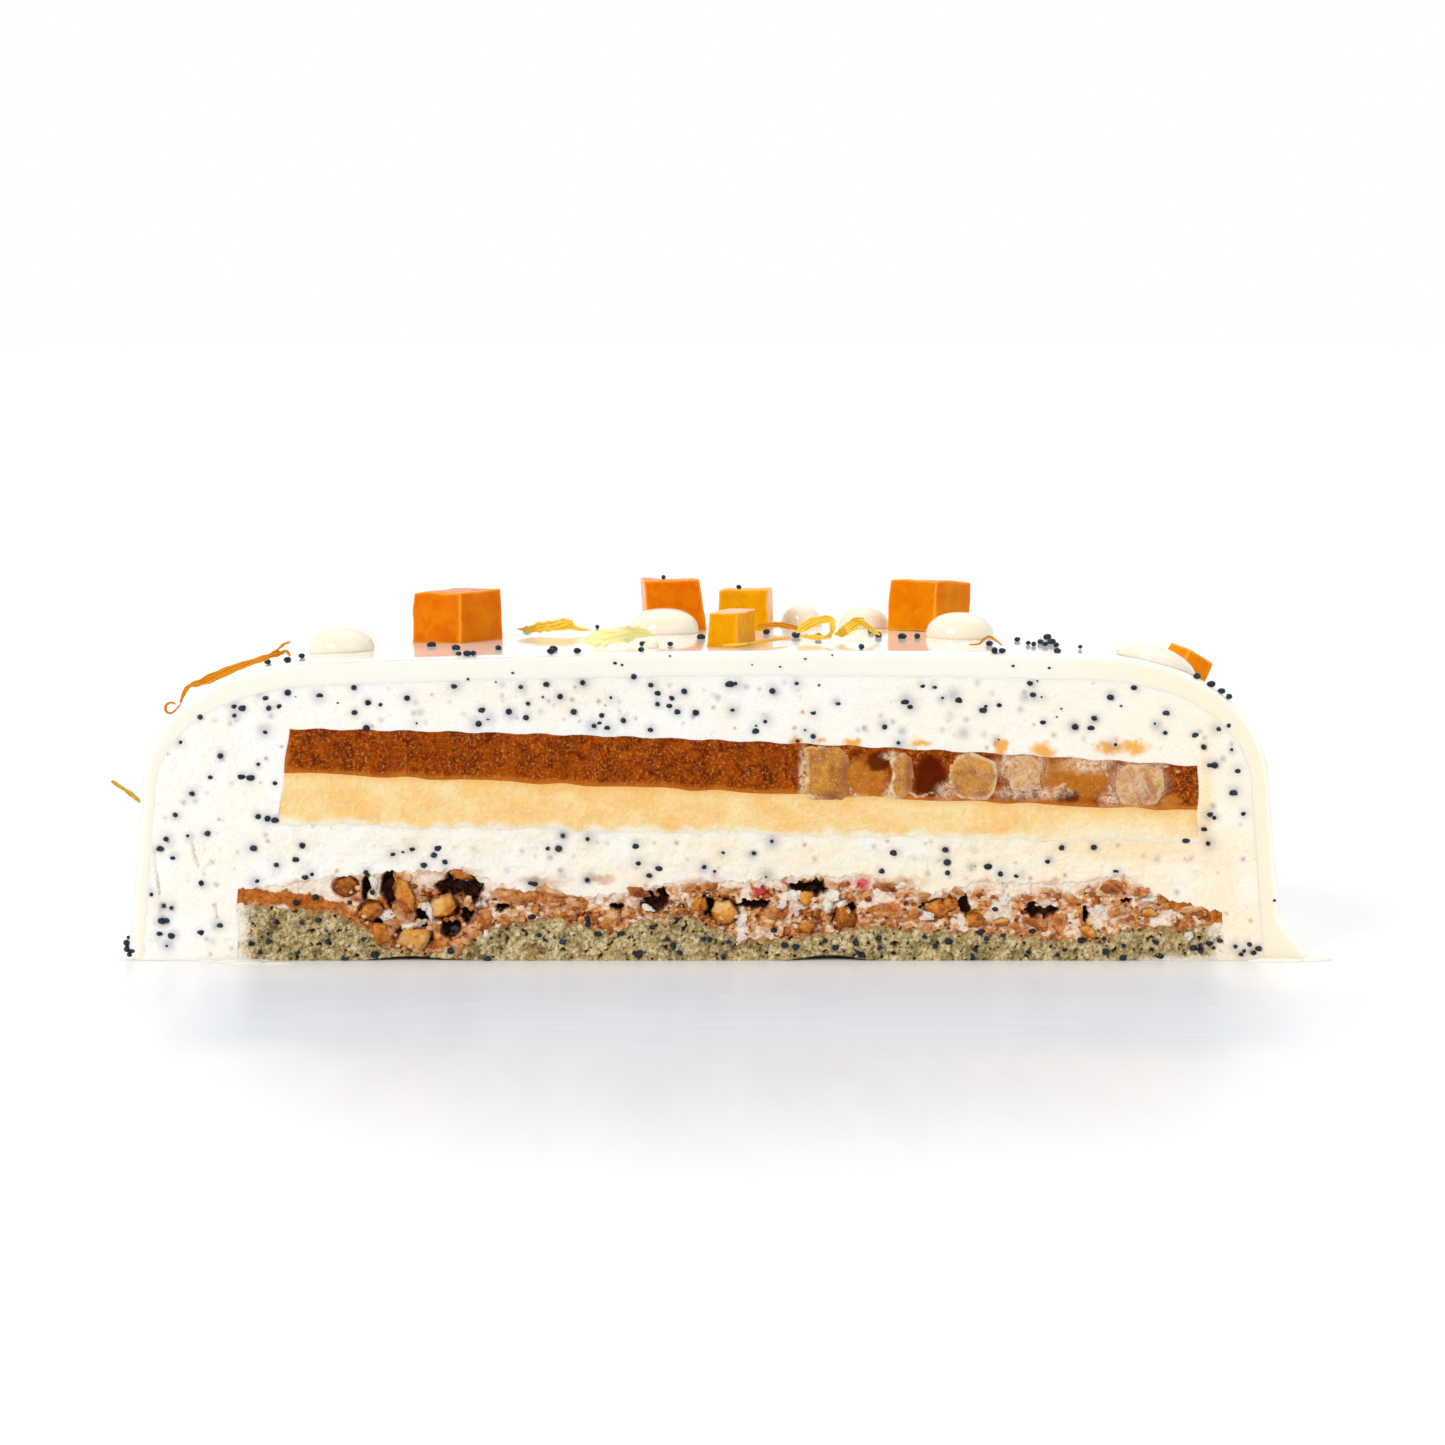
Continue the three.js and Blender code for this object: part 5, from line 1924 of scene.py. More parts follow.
@dataclass
class NutCrunch:
    """The crunch: a mottled mass with hollows, and the broken bits that stand out of it; painted shade
    darkens its hollows, its cracks, and the mass round and between its big nuts.
    """

    hollows: tuple[Spot, ...] = (
        (364, 889, 6, 13), (386, 884, 7, 12), (389, 898, 6, 11), (452, 889, 15, 9), (472, 893, 10, 13),
        (466, 917, 6, 7), (655, 906, 13, 8), (648, 899, 6, 7), (663, 897, 5, 7), (616, 909, 6, 4),
        (707, 909, 7, 11), (752, 906, 18, 4), (809, 890, 19, 7), (818, 886, 8, 6), (966, 907, 5, 11),
        (1042, 913, 16, 5), (1033, 910, 6, 4), (1086, 916, 3, 7), (852, 909, 6, 5), (501, 909, 8, 4),
        (380, 930, 6, 8), (423, 916, 8, 9), (420, 930, 8, 6), (450, 932, 10, 8), (410, 957, 24, 4),
        (601, 930, 3, 8), (842, 938, 4, 3), (925, 908, 3, 3), (1128, 902, 5, 2),
    )
    milky: tuple[Spot, ...] = (
        (375, 890, 5, 10), (428, 882, 12, 9), (488, 887, 16, 9), (478, 900, 6, 10), (635, 904, 12, 6),
        (668, 899, 6, 5), (742, 925, 5, 16), (790, 897, 12, 7), (828, 896, 10, 8), (882, 902, 12, 5),
        (926, 915, 6, 7), (1000, 912, 12, 12), (1048, 906, 10, 5), (1100, 914, 12, 7), (1147, 899, 12, 4),
        (1186, 936, 5, 6), (560, 899, 14, 3), (598, 898, 5, 9), (1160, 924, 9, 6), (880, 893, 7, 5),
        (408, 868, 14, 6), (525, 880, 14, 4), (770, 884, 16, 6), (935, 889, 18, 6), (1010, 890, 16, 6),
        (1072, 888, 12, 6), (1180, 902, 16, 5), (1210, 900, 10, 5), (650, 884, 22, 4), (735, 886, 12, 5),
        (868, 908, 8, 4), (500, 927, 6, 3),
    )
    berries: tuple[Spot, ...] = ((758, 893, 5, 3), (766, 898, 4, 2), (862, 885, 7, 5))
    almonds: tuple[tuple[float, ...], ...] = (
        (345, 888, 14, 11, 0, 0.3), (370, 913, 13, 11, 30, 0.38), (380, 936, 10, 12, 0, 0.5),
        (403, 898, 11, 20, 18, 0.36), (412, 941, 20, 14, -8, 0.74), (442, 909, 17, 13, 10, 0.7),
        (460, 876, 14, 5, -15, 0.45), (724, 914, 15, 14, 0, 0.68), (699, 908, 9, 12, 0, 0.34),
        (845, 921, 13, 14, 0, 0.28), (807, 900, 10, 9, 0, 0.5), (807, 928, 9, 8, 0, 0.42),
        (938, 911, 14, 10, -10, 0.4), (976, 922, 11, 9, 20, 0.45), (1003, 924, 10, 5, 0, 0.6),
        (952, 906, 9, 8, 0, 0.35), (1090, 934, 11, 6, -35, 0.6), (1150, 914, 9, 6, 0, 0.6),
    )
    toffees: tuple[Spot, ...] = (
        (457, 874, 9, 5), (484, 926, 7, 20), (512, 899, 18, 6), (504, 921, 8, 6), (546, 893, 20, 5),
        (607, 922, 11, 12), (629, 916, 10, 6), (636, 894, 18, 7), (706, 890, 16, 6), (458, 953, 4, 9),
        (890, 889, 18, 6), (888, 916, 20, 6), (1048, 893, 9, 5), (1036, 927, 18, 6), (1110, 888, 18, 8),
        (1142, 893, 12, 5), (1118, 914, 12, 7), (1196, 911, 20, 5), (1187, 928, 7, 7), (777, 915, 16, 8),
        (575, 904, 14, 5), (986, 904, 8, 6), (1075, 901, 12, 7), (1165, 908, 10, 5), (660, 923, 12, 4),
        (915, 917, 8, 5), (865, 925, 8, 5), (548, 907, 16, 5), (467, 903, 4, 6), (725, 893, 7, 4),
        (1062, 921, 8, 6), (690, 890, 8, 5), (958, 893, 9, 4), (925, 897, 8, 4),
    )
    milks: tuple[Spot, ...] = (
        (386, 917, 10, 5), (428, 913, 4, 8), (424, 908, 4, 4), (487, 936, 4, 8), (741, 940, 5, 8),
        (795, 897, 7, 5), (834, 897, 6, 7), (829, 908, 5, 7), (648, 910, 6, 3), (1190, 937, 5, 5),
        (1006, 901, 6, 6), (1098, 912, 8, 5), (928, 918, 7, 4), (782, 907, 6, 4), (413, 927, 12, 4),
        (373, 884, 4, 6), (742, 922, 4, 7), (842, 906, 5, 4), (1048, 905, 6, 3), (1149, 901, 8, 3),
    )
    caramel: tuple[tuple[float, ...], ...] = (
        (226, 899, 245, 896, 262, 900, 285, 901, 310, 904, 335, 911, 352, 919, 374, 932),
        (1160, 903, 1178, 908, 1200, 912, 1224, 919), (500, 897, 530, 898, 560, 902, 580, 906),
        (870, 915, 890, 912, 915, 919), (1018, 930, 1040, 925, 1060, 922),
    )
    # places between the big nuts, darkened by painted shade
    painted_shade_between_nuts: tuple[Spot, ...] = (
        (420, 925, 60, 34), (652, 905, 18, 14), (460, 905, 16, 20),
    )
    cell_tones: tuple[Pair, ...] = (  # shade of a shard, and how common it is
        (0.16, 0.14), (0.34, 0.22), (0.45, 0.22), (0.58, 0.18), (0.76, 0.16), (0.9, 0.08),
    )
    hollow_depth: float = 2.6
    face_spacing: float = 0.2
    crumbs: int = 520

    def build(self) -> None:
        """Makes the crunch and its bits."""
        mesh = solid_layer(CRUNCH, self.face_spacing, 41).mesh("crunch_mass")
        points = mesh_points(mesh)
        rough = spread_noise(points, 1.5, 42, 3)
        warped = points + 0.75 * np.stack([rough, rough, spread_noise(points, 1.1, 43, 3)], 1)
        # hollows: set back, and darkened with painted shade
        shaded_hollow = spots(warped, self.hollows, 0.16)
        edge = self.edge_room(points)
        over = points[:, 2] - cut_height(FORM.sponge_top, points)
        left = 1 - eased(points[:, 0], -60, -54)
        caramel = strokes(points + 0.35 * (warped - points), self.caramel, 1.7)
        caramel = eased(caramel + 0.55 * spread_noise(points, 1.6, 54, 3), 0.3, 0.6)
        milk = 0.95 * spots(warped, self.milky, 0.35) * (1 - shaded_hollow)
        milk = np.maximum(milk, 0.8 * eased(spread_noise(warped, 2.6, 50, 3), 0.04, 0.36) * (1 - shaded_hollow))
        right = eased(points[:, 0], 68, 73)
        milk = np.maximum(milk, np.maximum(left, right) * (1 - caramel) * eased(over, 0.9, 1.5))
        top = cut_height(FORM.crunch_top, points) - points[:, 2]
        fade = 0.9 + 1.1 * eased(points[:, 0], 10, 35)
        milk = np.maximum(milk, 1 - eased(top + 1.1 * spread_noise(points, 2.4, 47, 3), 0.05, fade))
        cells = Shards.of(points, 1.25, 46, 1.25)
        draw = np.random.default_rng(48)
        tones, odds = zip(*self.cell_tones)
        tints = draw.choice(tones, cells.count, p=odds)
        soft = 0.15 + 0.8 * eased(spread_noise(points, 7, 51, 2), -0.2, 0.15)
        soft = np.maximum(soft, 0.9 * eased(points[:, 0], 18, 36))
        # cracks between shards: set back, and darkened by painted shade
        shaded_crack = (1 - eased(cells.border, 0.02, 0.16)) * (1 - soft)
        blended = 0.58 + 0.72 * spread_noise(warped, 1.5, 52, 4)
        shade = tints[cells.own] * (1 - soft) + blended * soft - 0.25 * shaded_crack + 0.1 * rough
        # painted shade between the nuts at the left
        painted_shade_between_nuts = spots(warped, self.painted_shade_between_nuts, 0.5)
        shade = shade * (1 - 0.75 * painted_shade_between_nuts) + painted_shade_between_nuts * (0.16 + 0.1 * rough)
        # painted shade round the big nuts, where they sit deeper in the mass
        shaded_nests = spots(points, [row[:4] for row in self.almonds if row[2] > 11], 0.16)
        shade = shade - 0.4 * shaded_nests
        marks = {
            "shaded_hollow": shaded_hollow * edge, "milk": milk * (1 - caramel) * (1 - 0.7 * painted_shade_between_nuts) * (1 - shaded_nests),
            "caramel": caramel * np.maximum(np.maximum(left, right), 0.6),
            "berry": 0.9 * spots(warped, self.berries, 0.7), "shade": np.clip(shade, 0, 1),
        }
        facets = (cells.relief(draw, 0.35, 0.5) + 0.3 * shaded_crack) * (1 - 0.6 * soft)
        smooth = np.maximum(marks["milk"], marks["caramel"])
        relief = 0.2 * rough + facets * (1 - 0.85 * smooth) + 0.22 * spread_noise(points, 0.8, 45, 2)
        relief = relief * (0.25 + 0.75 * edge) + (self.hollow_depth * shaded_hollow + 0.9 * shaded_nests) * edge
        points = behind_face(points, np.maximum(relief + 0.25, -0.6))
        finish_piece(mesh, points, CrunchFinish().material(), marks, ["nut_crunch"], 30)
        looks = {
            Bit.ALMOND: BitFinish("roast_almond", (
                (0.0, (124, 54, 6)), (0.35, (212, 122, 26)), (0.65, (240, 166, 62)), (1.0, (252, 214, 142)),
            ), (116, 52, 14), 0.16),
            Bit.TOFFEE: BitFinish("toffee", (
                (0.0, (100, 42, 10)), (0.35, (192, 104, 34)), (0.65, (226, 156, 88)), (1.0, (246, 216, 180)),
            ), (230, 178, 122), 0.35),
            Bit.MILK: BitFinish("white_smear", (
                (0.0, (244, 228, 212)), (1.0, (255, 250, 240)),
            ), (252, 242, 228), 0.5),
        }
        places = {Bit.ALMOND: self.almonds, Bit.TOFFEE: self.toffees, Bit.MILK: self.milks}
        for kind, look in looks.items():
            self.bits(kind, places[kind], look.material())
        self.crumble(looks[Bit.TOFFEE].material())

    @staticmethod
    def edge_room(points: Array) -> Array:
        """0 at the layer's edges in the cut, 1 well inside it.

        Args:
            points: places, one row each.

        Returns:
            One value a point.
        """
        over = cut_height(FORM.crunch_top, points) - points[:, 2]
        below = points[:, 2] - cut_height(FORM.sponge_top, points)
        return eased(np.minimum(over, below), 0.0, 0.4)

    def bits(self, kind: Bit, places: Sequence[Sequence[float]], material: Material) -> Piece:
        """Makes all bits of one kind as one piece.

        Args:
            kind: their kind.
            places: each one's centre and half sizes in photo pixels, and maybe its tilt and tone.
            material: their finish.

        Returns:
            The new object.
        """
        draw = np.random.default_rng(sum(map(ord, kind.value)))
        surface = Surface()
        depth = {Bit.ALMOND: 1.15, Bit.TOFFEE: 0.9, Bit.MILK: 0.95}[kind]
        rims, shades = [], []
        for px, py, half_width, half_height, *more in places:
            x, z = on_cut(px, py)
            wide, tall = half_width * PIXEL, half_height * PIXEL
            tilt, tone = more or (draw.uniform(-25, 25), draw.uniform(0.3, 0.8))
            deep = min(2.2, 1.1 * max(wide, tall) ** 0.8)
            corners = int(draw.integers(5, 8)) if kind is not Bit.MILK else 9
            points, triangles, rim, tones = nut_shape(draw, (wide, deep, tall), corners, 4)
            if kind is Bit.MILK:
                points *= (1 + 0.45 * spread_noise(points, 0.7, draw.uniform(0, 30), 3))[:, None]
            # painted light: each bit lighter towards its top, plus a random tone
            top_light_and_tone = 0.16 * points[:, 2] / tall + 0.14 * spread_noise(points, 0.9, draw.uniform(0, 30), 3)
            points = spun(points, math.radians(tilt), 0, 2)
            surface.add(points + (x, 0.6 * deep - depth + 0.35, max(z, tall * 0.9)), triangles)
            rims.append(rim)
            shades.append(np.clip(tone + top_light_and_tone + tones, 0, 1))
        mesh = surface.mesh(kind.value, weld=0)
        strength = {Bit.ALMOND: 0.85, Bit.TOFFEE: 0.5, Bit.MILK: 0.3}[kind]
        marks = {"rim": strength * np.concatenate(rims), "shade": np.concatenate(shades)}
        return finish_piece(mesh, mesh_points(mesh), material, marks, crease=32)

    def crumble(self, material: Material) -> Piece:
        """Makes the crumbs of toffee scattered over the crunch's cut face as one piece.

        Args:
            material: their finish.

        Returns:
            The new object.
        """
        draw = np.random.default_rng(49)
        surface = Surface()
        shades = []
        while len(shades) < self.crumbs:
            x, share = draw.uniform(-56, 79), draw.uniform(0.0, 0.88)
            place = np.array([x]), np.zeros(1)
            low, high = float(FORM.sponge_top(*place)[0]), float(FORM.crunch_top(*place)[0])
            z, size = low + share * (high - low), draw.uniform(0.2, 0.62)
            if float(spots(np.array([[x, 0, z]]), self.hollows + self.milky, 0.2)[0]) > 0.5:
                continue
            points, triangles, _, _ = nut_shape(draw, (size, 0.7 * size, size * draw.uniform(0.6, 1)), 5, 2)
            surface.add(points + (x, draw.uniform(-0.1, 0.25), z), triangles)
            shades.append(np.full(len(points), draw.uniform(0.05, 1)))
        mesh = surface.mesh("toffee_crumbs", weld=0)
        shade = np.concatenate(shades)
        marks = {"rim": np.zeros(len(shade)), "shade": shade}
        return finish_piece(mesh, mesh_points(mesh), material, marks, crease=28)


@dataclass
class PoppySponge:
    """The sponge: a crumb full of pores and grains, its ends soaked with mousse."""

    seeds: tuple[Pair, ...] = (
        (274, 923), (300, 925), (317, 922), (266, 936), (267, 944), (249, 946), (296, 956), (327, 936),
        (327, 944), (363, 941), (343, 961), (373, 957), (259, 954), (295, 905), (314, 899), (531, 919),
        (538, 937), (562, 944), (588, 926), (598, 936), (546, 942), (487, 961), (454, 930), (451, 936),
        (449, 953), (587, 920), (621, 935), (652, 930), (677, 921), (667, 941), (673, 948), (680, 955),
        (703, 941), (710, 942), (729, 944), (638, 957), (723, 959), (774, 932), (785, 947), (797, 950),
        (827, 943), (836, 950), (857, 945), (857, 955), (879, 941), (881, 950), (861, 957), (996, 911),
        (983, 935), (1004, 937), (987, 941), (924, 940), (949, 943), (935, 948), (976, 952), (973, 960),
        (1030, 954), (1034, 933), (1058, 957), (1083, 943), (1106, 941), (1107, 954), (1125, 948),
        (1125, 960), (1158, 945), (1162, 959), (1195, 950), (1202, 948), (1203, 953), (1212, 946),
        (1216, 950), (1222, 943), (1202, 915), (371, 894), (348, 904), (685, 907),
    )
    face_spacing: float = 0.21
    stain_reach: float = 0.62
    finish: SpongeFinish = SpongeFinish()

    def build(self) -> Piece:
        """Makes the sponge.

        Returns:
            The new object.
        """
        mesh = solid_layer(SPONGE, self.face_spacing, 51).mesh("poppy_sponge")
        points = mesh_points(mesh)
        coarse, fine = spread_noise(points, 1.6, 52, 3), spread_noise(points, 0.5, 53, 2)
        grains = Shards.of(points, 0.8, 55, 1.0, 0.5)
        draw = np.random.default_rng(56)
        away = np.hypot(grains.offset[:, 0], grains.offset[:, 1])
        dome = np.clip(1 - (away / 0.52) ** 2, 0, 1)
        level = draw.uniform(-1, 1, grains.count)[grains.own]
        shaded_pore = eased(spread_noise(points, 1.0, 54, 3) + 0.3 * fine, 0.42, 0.8)
        over = cut_height(FORM.sponge_top, points) - points[:, 2]
        patch = spread_noise(points, 2.6, 58, 3)
        # crumb: random tone, with a painted highlight on each grain's dome and painted shade in the pores
        crumb = 0.42 + 0.2 * dome + 0.12 * level + 0.14 * coarse + 0.22 * patch - 0.4 * shaded_pore
        left, right = SPONGE.centre - SPONGE.radius, SPONGE.centre + SPONGE.radius
        ends = np.minimum(points[:, 0] - left, right - points[:, 0])
        milk = 1 - eased(ends + 1.3 * coarse, 0.3, 3.2)
        foot = 1 - eased(points[:, 2] + 0.7 * coarse, 0.2, 1.3)
        milk = np.maximum(milk, 0.8 * foot * eased(points[:, 0], 64, 72))
        stain = np.zeros(len(points))
        for px, py in self.seeds:
            x, z = on_cut(px, py)
            far = np.hypot(points[:, 0] - x, points[:, 2] - z)
            stain = np.maximum(stain, 0.6 * np.exp(-((far / self.stain_reach) ** 2)))
        marks = {
            "crumb": np.clip(crumb, 0, 1), "stain": stain, "milk": 0.95 * milk,
            "caramel": (1 - eased(over + 0.6 * coarse, 0.0, 0.8)) * 0.7,
        }
        relief = 0.4 * coarse + 0.18 * fine + 0.9 * shaded_pore - 0.35 * dome - 0.15 * level + 0.3
        relief = relief * (1 - 0.6 * milk)
        return finish_piece(
            mesh, behind_face(points, relief), self.finish.material(), marks, ["sponge"], 40,
        )


@dataclass
class PoppySeeds:
    """Poppy seeds: in the cut, in the sponge, on top and round the base."""

    mousse: Array
    dice: "JellyDice"
    drops: "GlazeDrops"
    sponge: Sequence[Pair]
    long: float = 0.78
    wide: float = 0.6
    thick: float = 0.54
    rock: float = 0.35  # how far a seed on top may tilt, in radians
    lift: float = 0.36
    speck_scale: float = 0.42
    rim_count: int = 46
    material: Material = field(init=False)
    corner: tuple[Pair, ...] = (
        (126, 941), (124, 946), (128, 948), (125, 952), (130, 954), (127, 957), (133, 958), (137, 961),
        (141, 959), (145, 962), (1281, 930), (1286, 934),
    )
    on_top: tuple[Pair, ...] = (
        (432, 644), (456, 647), (459, 654), (467, 654), (473, 653), (498, 647), (527, 628), (553, 648),
        (577, 661), (597, 626), (643, 643), (670, 643), (641, 660), (551, 672), (698, 624), (701, 636),
        (766, 631), (784, 623), (791, 623), (797, 624), (804, 620), (813, 620), (796, 634), (818, 635),
        (861, 646), (871, 630), (878, 634), (901.7, 635.5), (916.8, 635.5), (989, 642.7), (995, 652),
        (1002, 652), (1017, 638.5), (1028, 642), (1034, 643), (1040, 641), (1045, 643), (1048, 636),
        (1052, 641), (1056, 644), (1057, 650), (1080, 646), (1116, 651), (1197.5, 679.6), (1211.6, 689),
        (1222, 697), (1228.7, 701.5), (268, 661), (288, 659), (302, 655),
    )
    specks: tuple[Pair, ...] = (
        (615, 663), (622, 665), (670, 656), (752, 665), (780, 667), (805, 659), (819, 685), (832, 655),
        (1013, 666), (1049, 668), (1037, 681), (1061, 709), (1057, 717), (1121, 706), (296, 697), (338, 703),
        (468, 679), (513, 673), (496, 682), (526, 719), (543, 697), (574, 711), (1276, 902), (402, 853),
    )
    behind: tuple[tuple[float, float, float, int], ...] = (  # x, y, spread, number of seeds
        (-40.5, 47, 4.5, 5), (-5, 68, 4.5, 5), (7, 65, 4, 4), (37, 65, 4.5, 5),
    )

    def grain(self, draw: Draw) -> tuple[Array, Array]:
        """One kidney-shaped seed round the origin, its sizes a little different each time.

        Args:
            draw: source of the differences.

        Returns:
            Its points and triangles.
        """
        ball, triangles = round_ball(2)
        shape = ball * (self.long, self.wide, self.thick) * draw.uniform(0.6, 1.04)
        shape *= (1 + 0.08 * spread_noise(ball, 0.6, draw.uniform(0, 20)))[:, None]
        shape[:, 1] += 0.42 * shape[:, 0] ** 2
        dent = np.exp(-((ball[:, 0] / 0.35) ** 2)) * np.clip(-ball[:, 1], 0, 1)
        shape[:, 1] += 0.2 * dent
        return shape, triangles

    def scatter(self, name: str, places: Sequence[Sequence[float]], seed: int, flat: bool,
                scale: float = 1.0) -> Piece:
        """Makes seeds at given places as one piece.

        Args:
            name: the piece's name.
            places: seed centres in mm.
            seed: draw for their turns.
            flat: True where they lie on a level surface, False where they may point anywhere.
            scale: their size as a share of a whole seed's.

        Returns:
            The new object.
        """
        draw = np.random.default_rng(seed)
        surface = Surface()
        for place in places:
            points, triangles = self.grain(draw)
            turn = draw.uniform(0, CIRCLE)
            tilt = draw.uniform(-self.rock, self.rock) if flat else draw.uniform(0, CIRCLE)
            points = spun(spun(scale * points, tilt, 1, 2), turn, 0, 1)
            surface.add(points + np.asarray(place), triangles)
        mesh = surface.mesh(name, weld=0)
        return finish_piece(mesh, mesh_points(mesh), self.material)

    def build(self, studio: "Studio") -> None:
        """Makes all the seeds.

        Args:
            studio: the camera, which gives the places of the seeds measured on top.
        """
        self.material = SeedFinish().material()
        draw = np.random.default_rng(61)
        cut = [(x, draw.uniform(0.02, 0.42), z) for x, z in self.mousse]
        self.scatter("poppy_seeds_in_mousse", cut, 62, False)
        specks = [(x, draw.uniform(-0.1, 0.02), z) for x, z in (on_cut(*place) for place in self.specks)]
        self.scatter("seed_specks_in_cut", specks, 66, False, self.speck_scale)
        crumb = [(x, draw.uniform(-0.05, 0.4), z) for x, z in (on_cut(*place) for place in self.sponge)]
        self.scatter("poppy_seeds_in_sponge", crumb, 63, False)
        self.scatter("poppy_seeds_on_top", self.top_places(studio, draw), 64, True)
        self.scatter("poppy_seeds_round_base", self.rim_places(draw), 65, False)

    def top_places(self, studio: "Studio", draw: Draw) -> list[Place]:
        """Seeds lying on the glaze, and one on each of two dice.

        Args:
            studio: the camera, which gives the places of those measured.
            draw: source of the others.

        Returns:
            Their centres.
        """
        places = [studio.on_glaze(px, py + 3) for px, py in self.on_top]
        for x, y, spread, count in self.behind:
            for _ in range(count):
                turn, away = draw.uniform(0, CIRCLE), spread * math.sqrt(draw.uniform())
                places.append((x + away * math.cos(turn), y + away * math.sin(turn), 0))
        lying = []
        for x, y, _ in places:
            if self.dice.covers(x, y) or self.drops.covers(x, y):
                continue
            lying.append((x, y, float(FORM.surface(x, y)) + self.lift))
        lying.append(self.dice.top_place(1, -0.2, -0.1))
        lying.append(self.dice.top_place(2, -0.15, -0.2))
        return lying

    def rim_places(self, draw: Draw) -> list[Place]:
        """Seeds stuck to the side just over the table, thickest at the left end of the cut.

        Args:
            draw: source of their places.

        Returns:
            Their centres.
        """
        corner = [on_cut(*place) for place in self.corner]
        places = [(x, draw.uniform(0.3, 1.6), max(z, 0.45)) for x, z in corner]
        for number in range(self.rim_count):
            turn = math.pi * (1 - 0.01 - 0.975 * (number + draw.uniform()) / self.rim_count)
            z = 0.5 + 2.4 * draw.uniform() ** 2
            reach = FORM.base_radius + 0.15 - max(0, 1.2 - z)
            places.append((reach * math.cos(turn), reach * math.sin(turn), z))
        return places


def set_on_glaze(points: Array, x: float, y: float, turn: float, sink: float) -> Array:
    """Sets a shape down on the glaze, square to the surface there.

    Args:
        points: the shape round the origin, standing on z = 0.
        x: where it stands.
        y: where it stands.
        turn: degrees about its upright axis.
        sink: how deep it is set in.

    Returns:
        The places in cake coordinates.
    """
    normal = FORM.normal(x, y)
    turned = Vector((0, 0, 1)).rotation_difference(normal).to_matrix()
    moved = spun(points, math.radians(turn), 0, 1) @ np.array(turned).T
    return moved + (x, y, float(FORM.surface(x, y))) - np.array(normal) * sink


@dataclass(frozen=True)
class Die:
    """One jelly die: where it stands, its sizes, its turn and its slant."""

    x: float
    y: float
    size: Place
    turn: float
    slant: Pair = (0.0, 0.0)
    body: Colour = (214, 104, 0)
    light: Colour = (226, 126, 0)
    # a face made pale by a painted highlight
    painted_face_highlight: tuple[tuple[int, float, float], ...] = ()  # axis, end and strength of a pale face


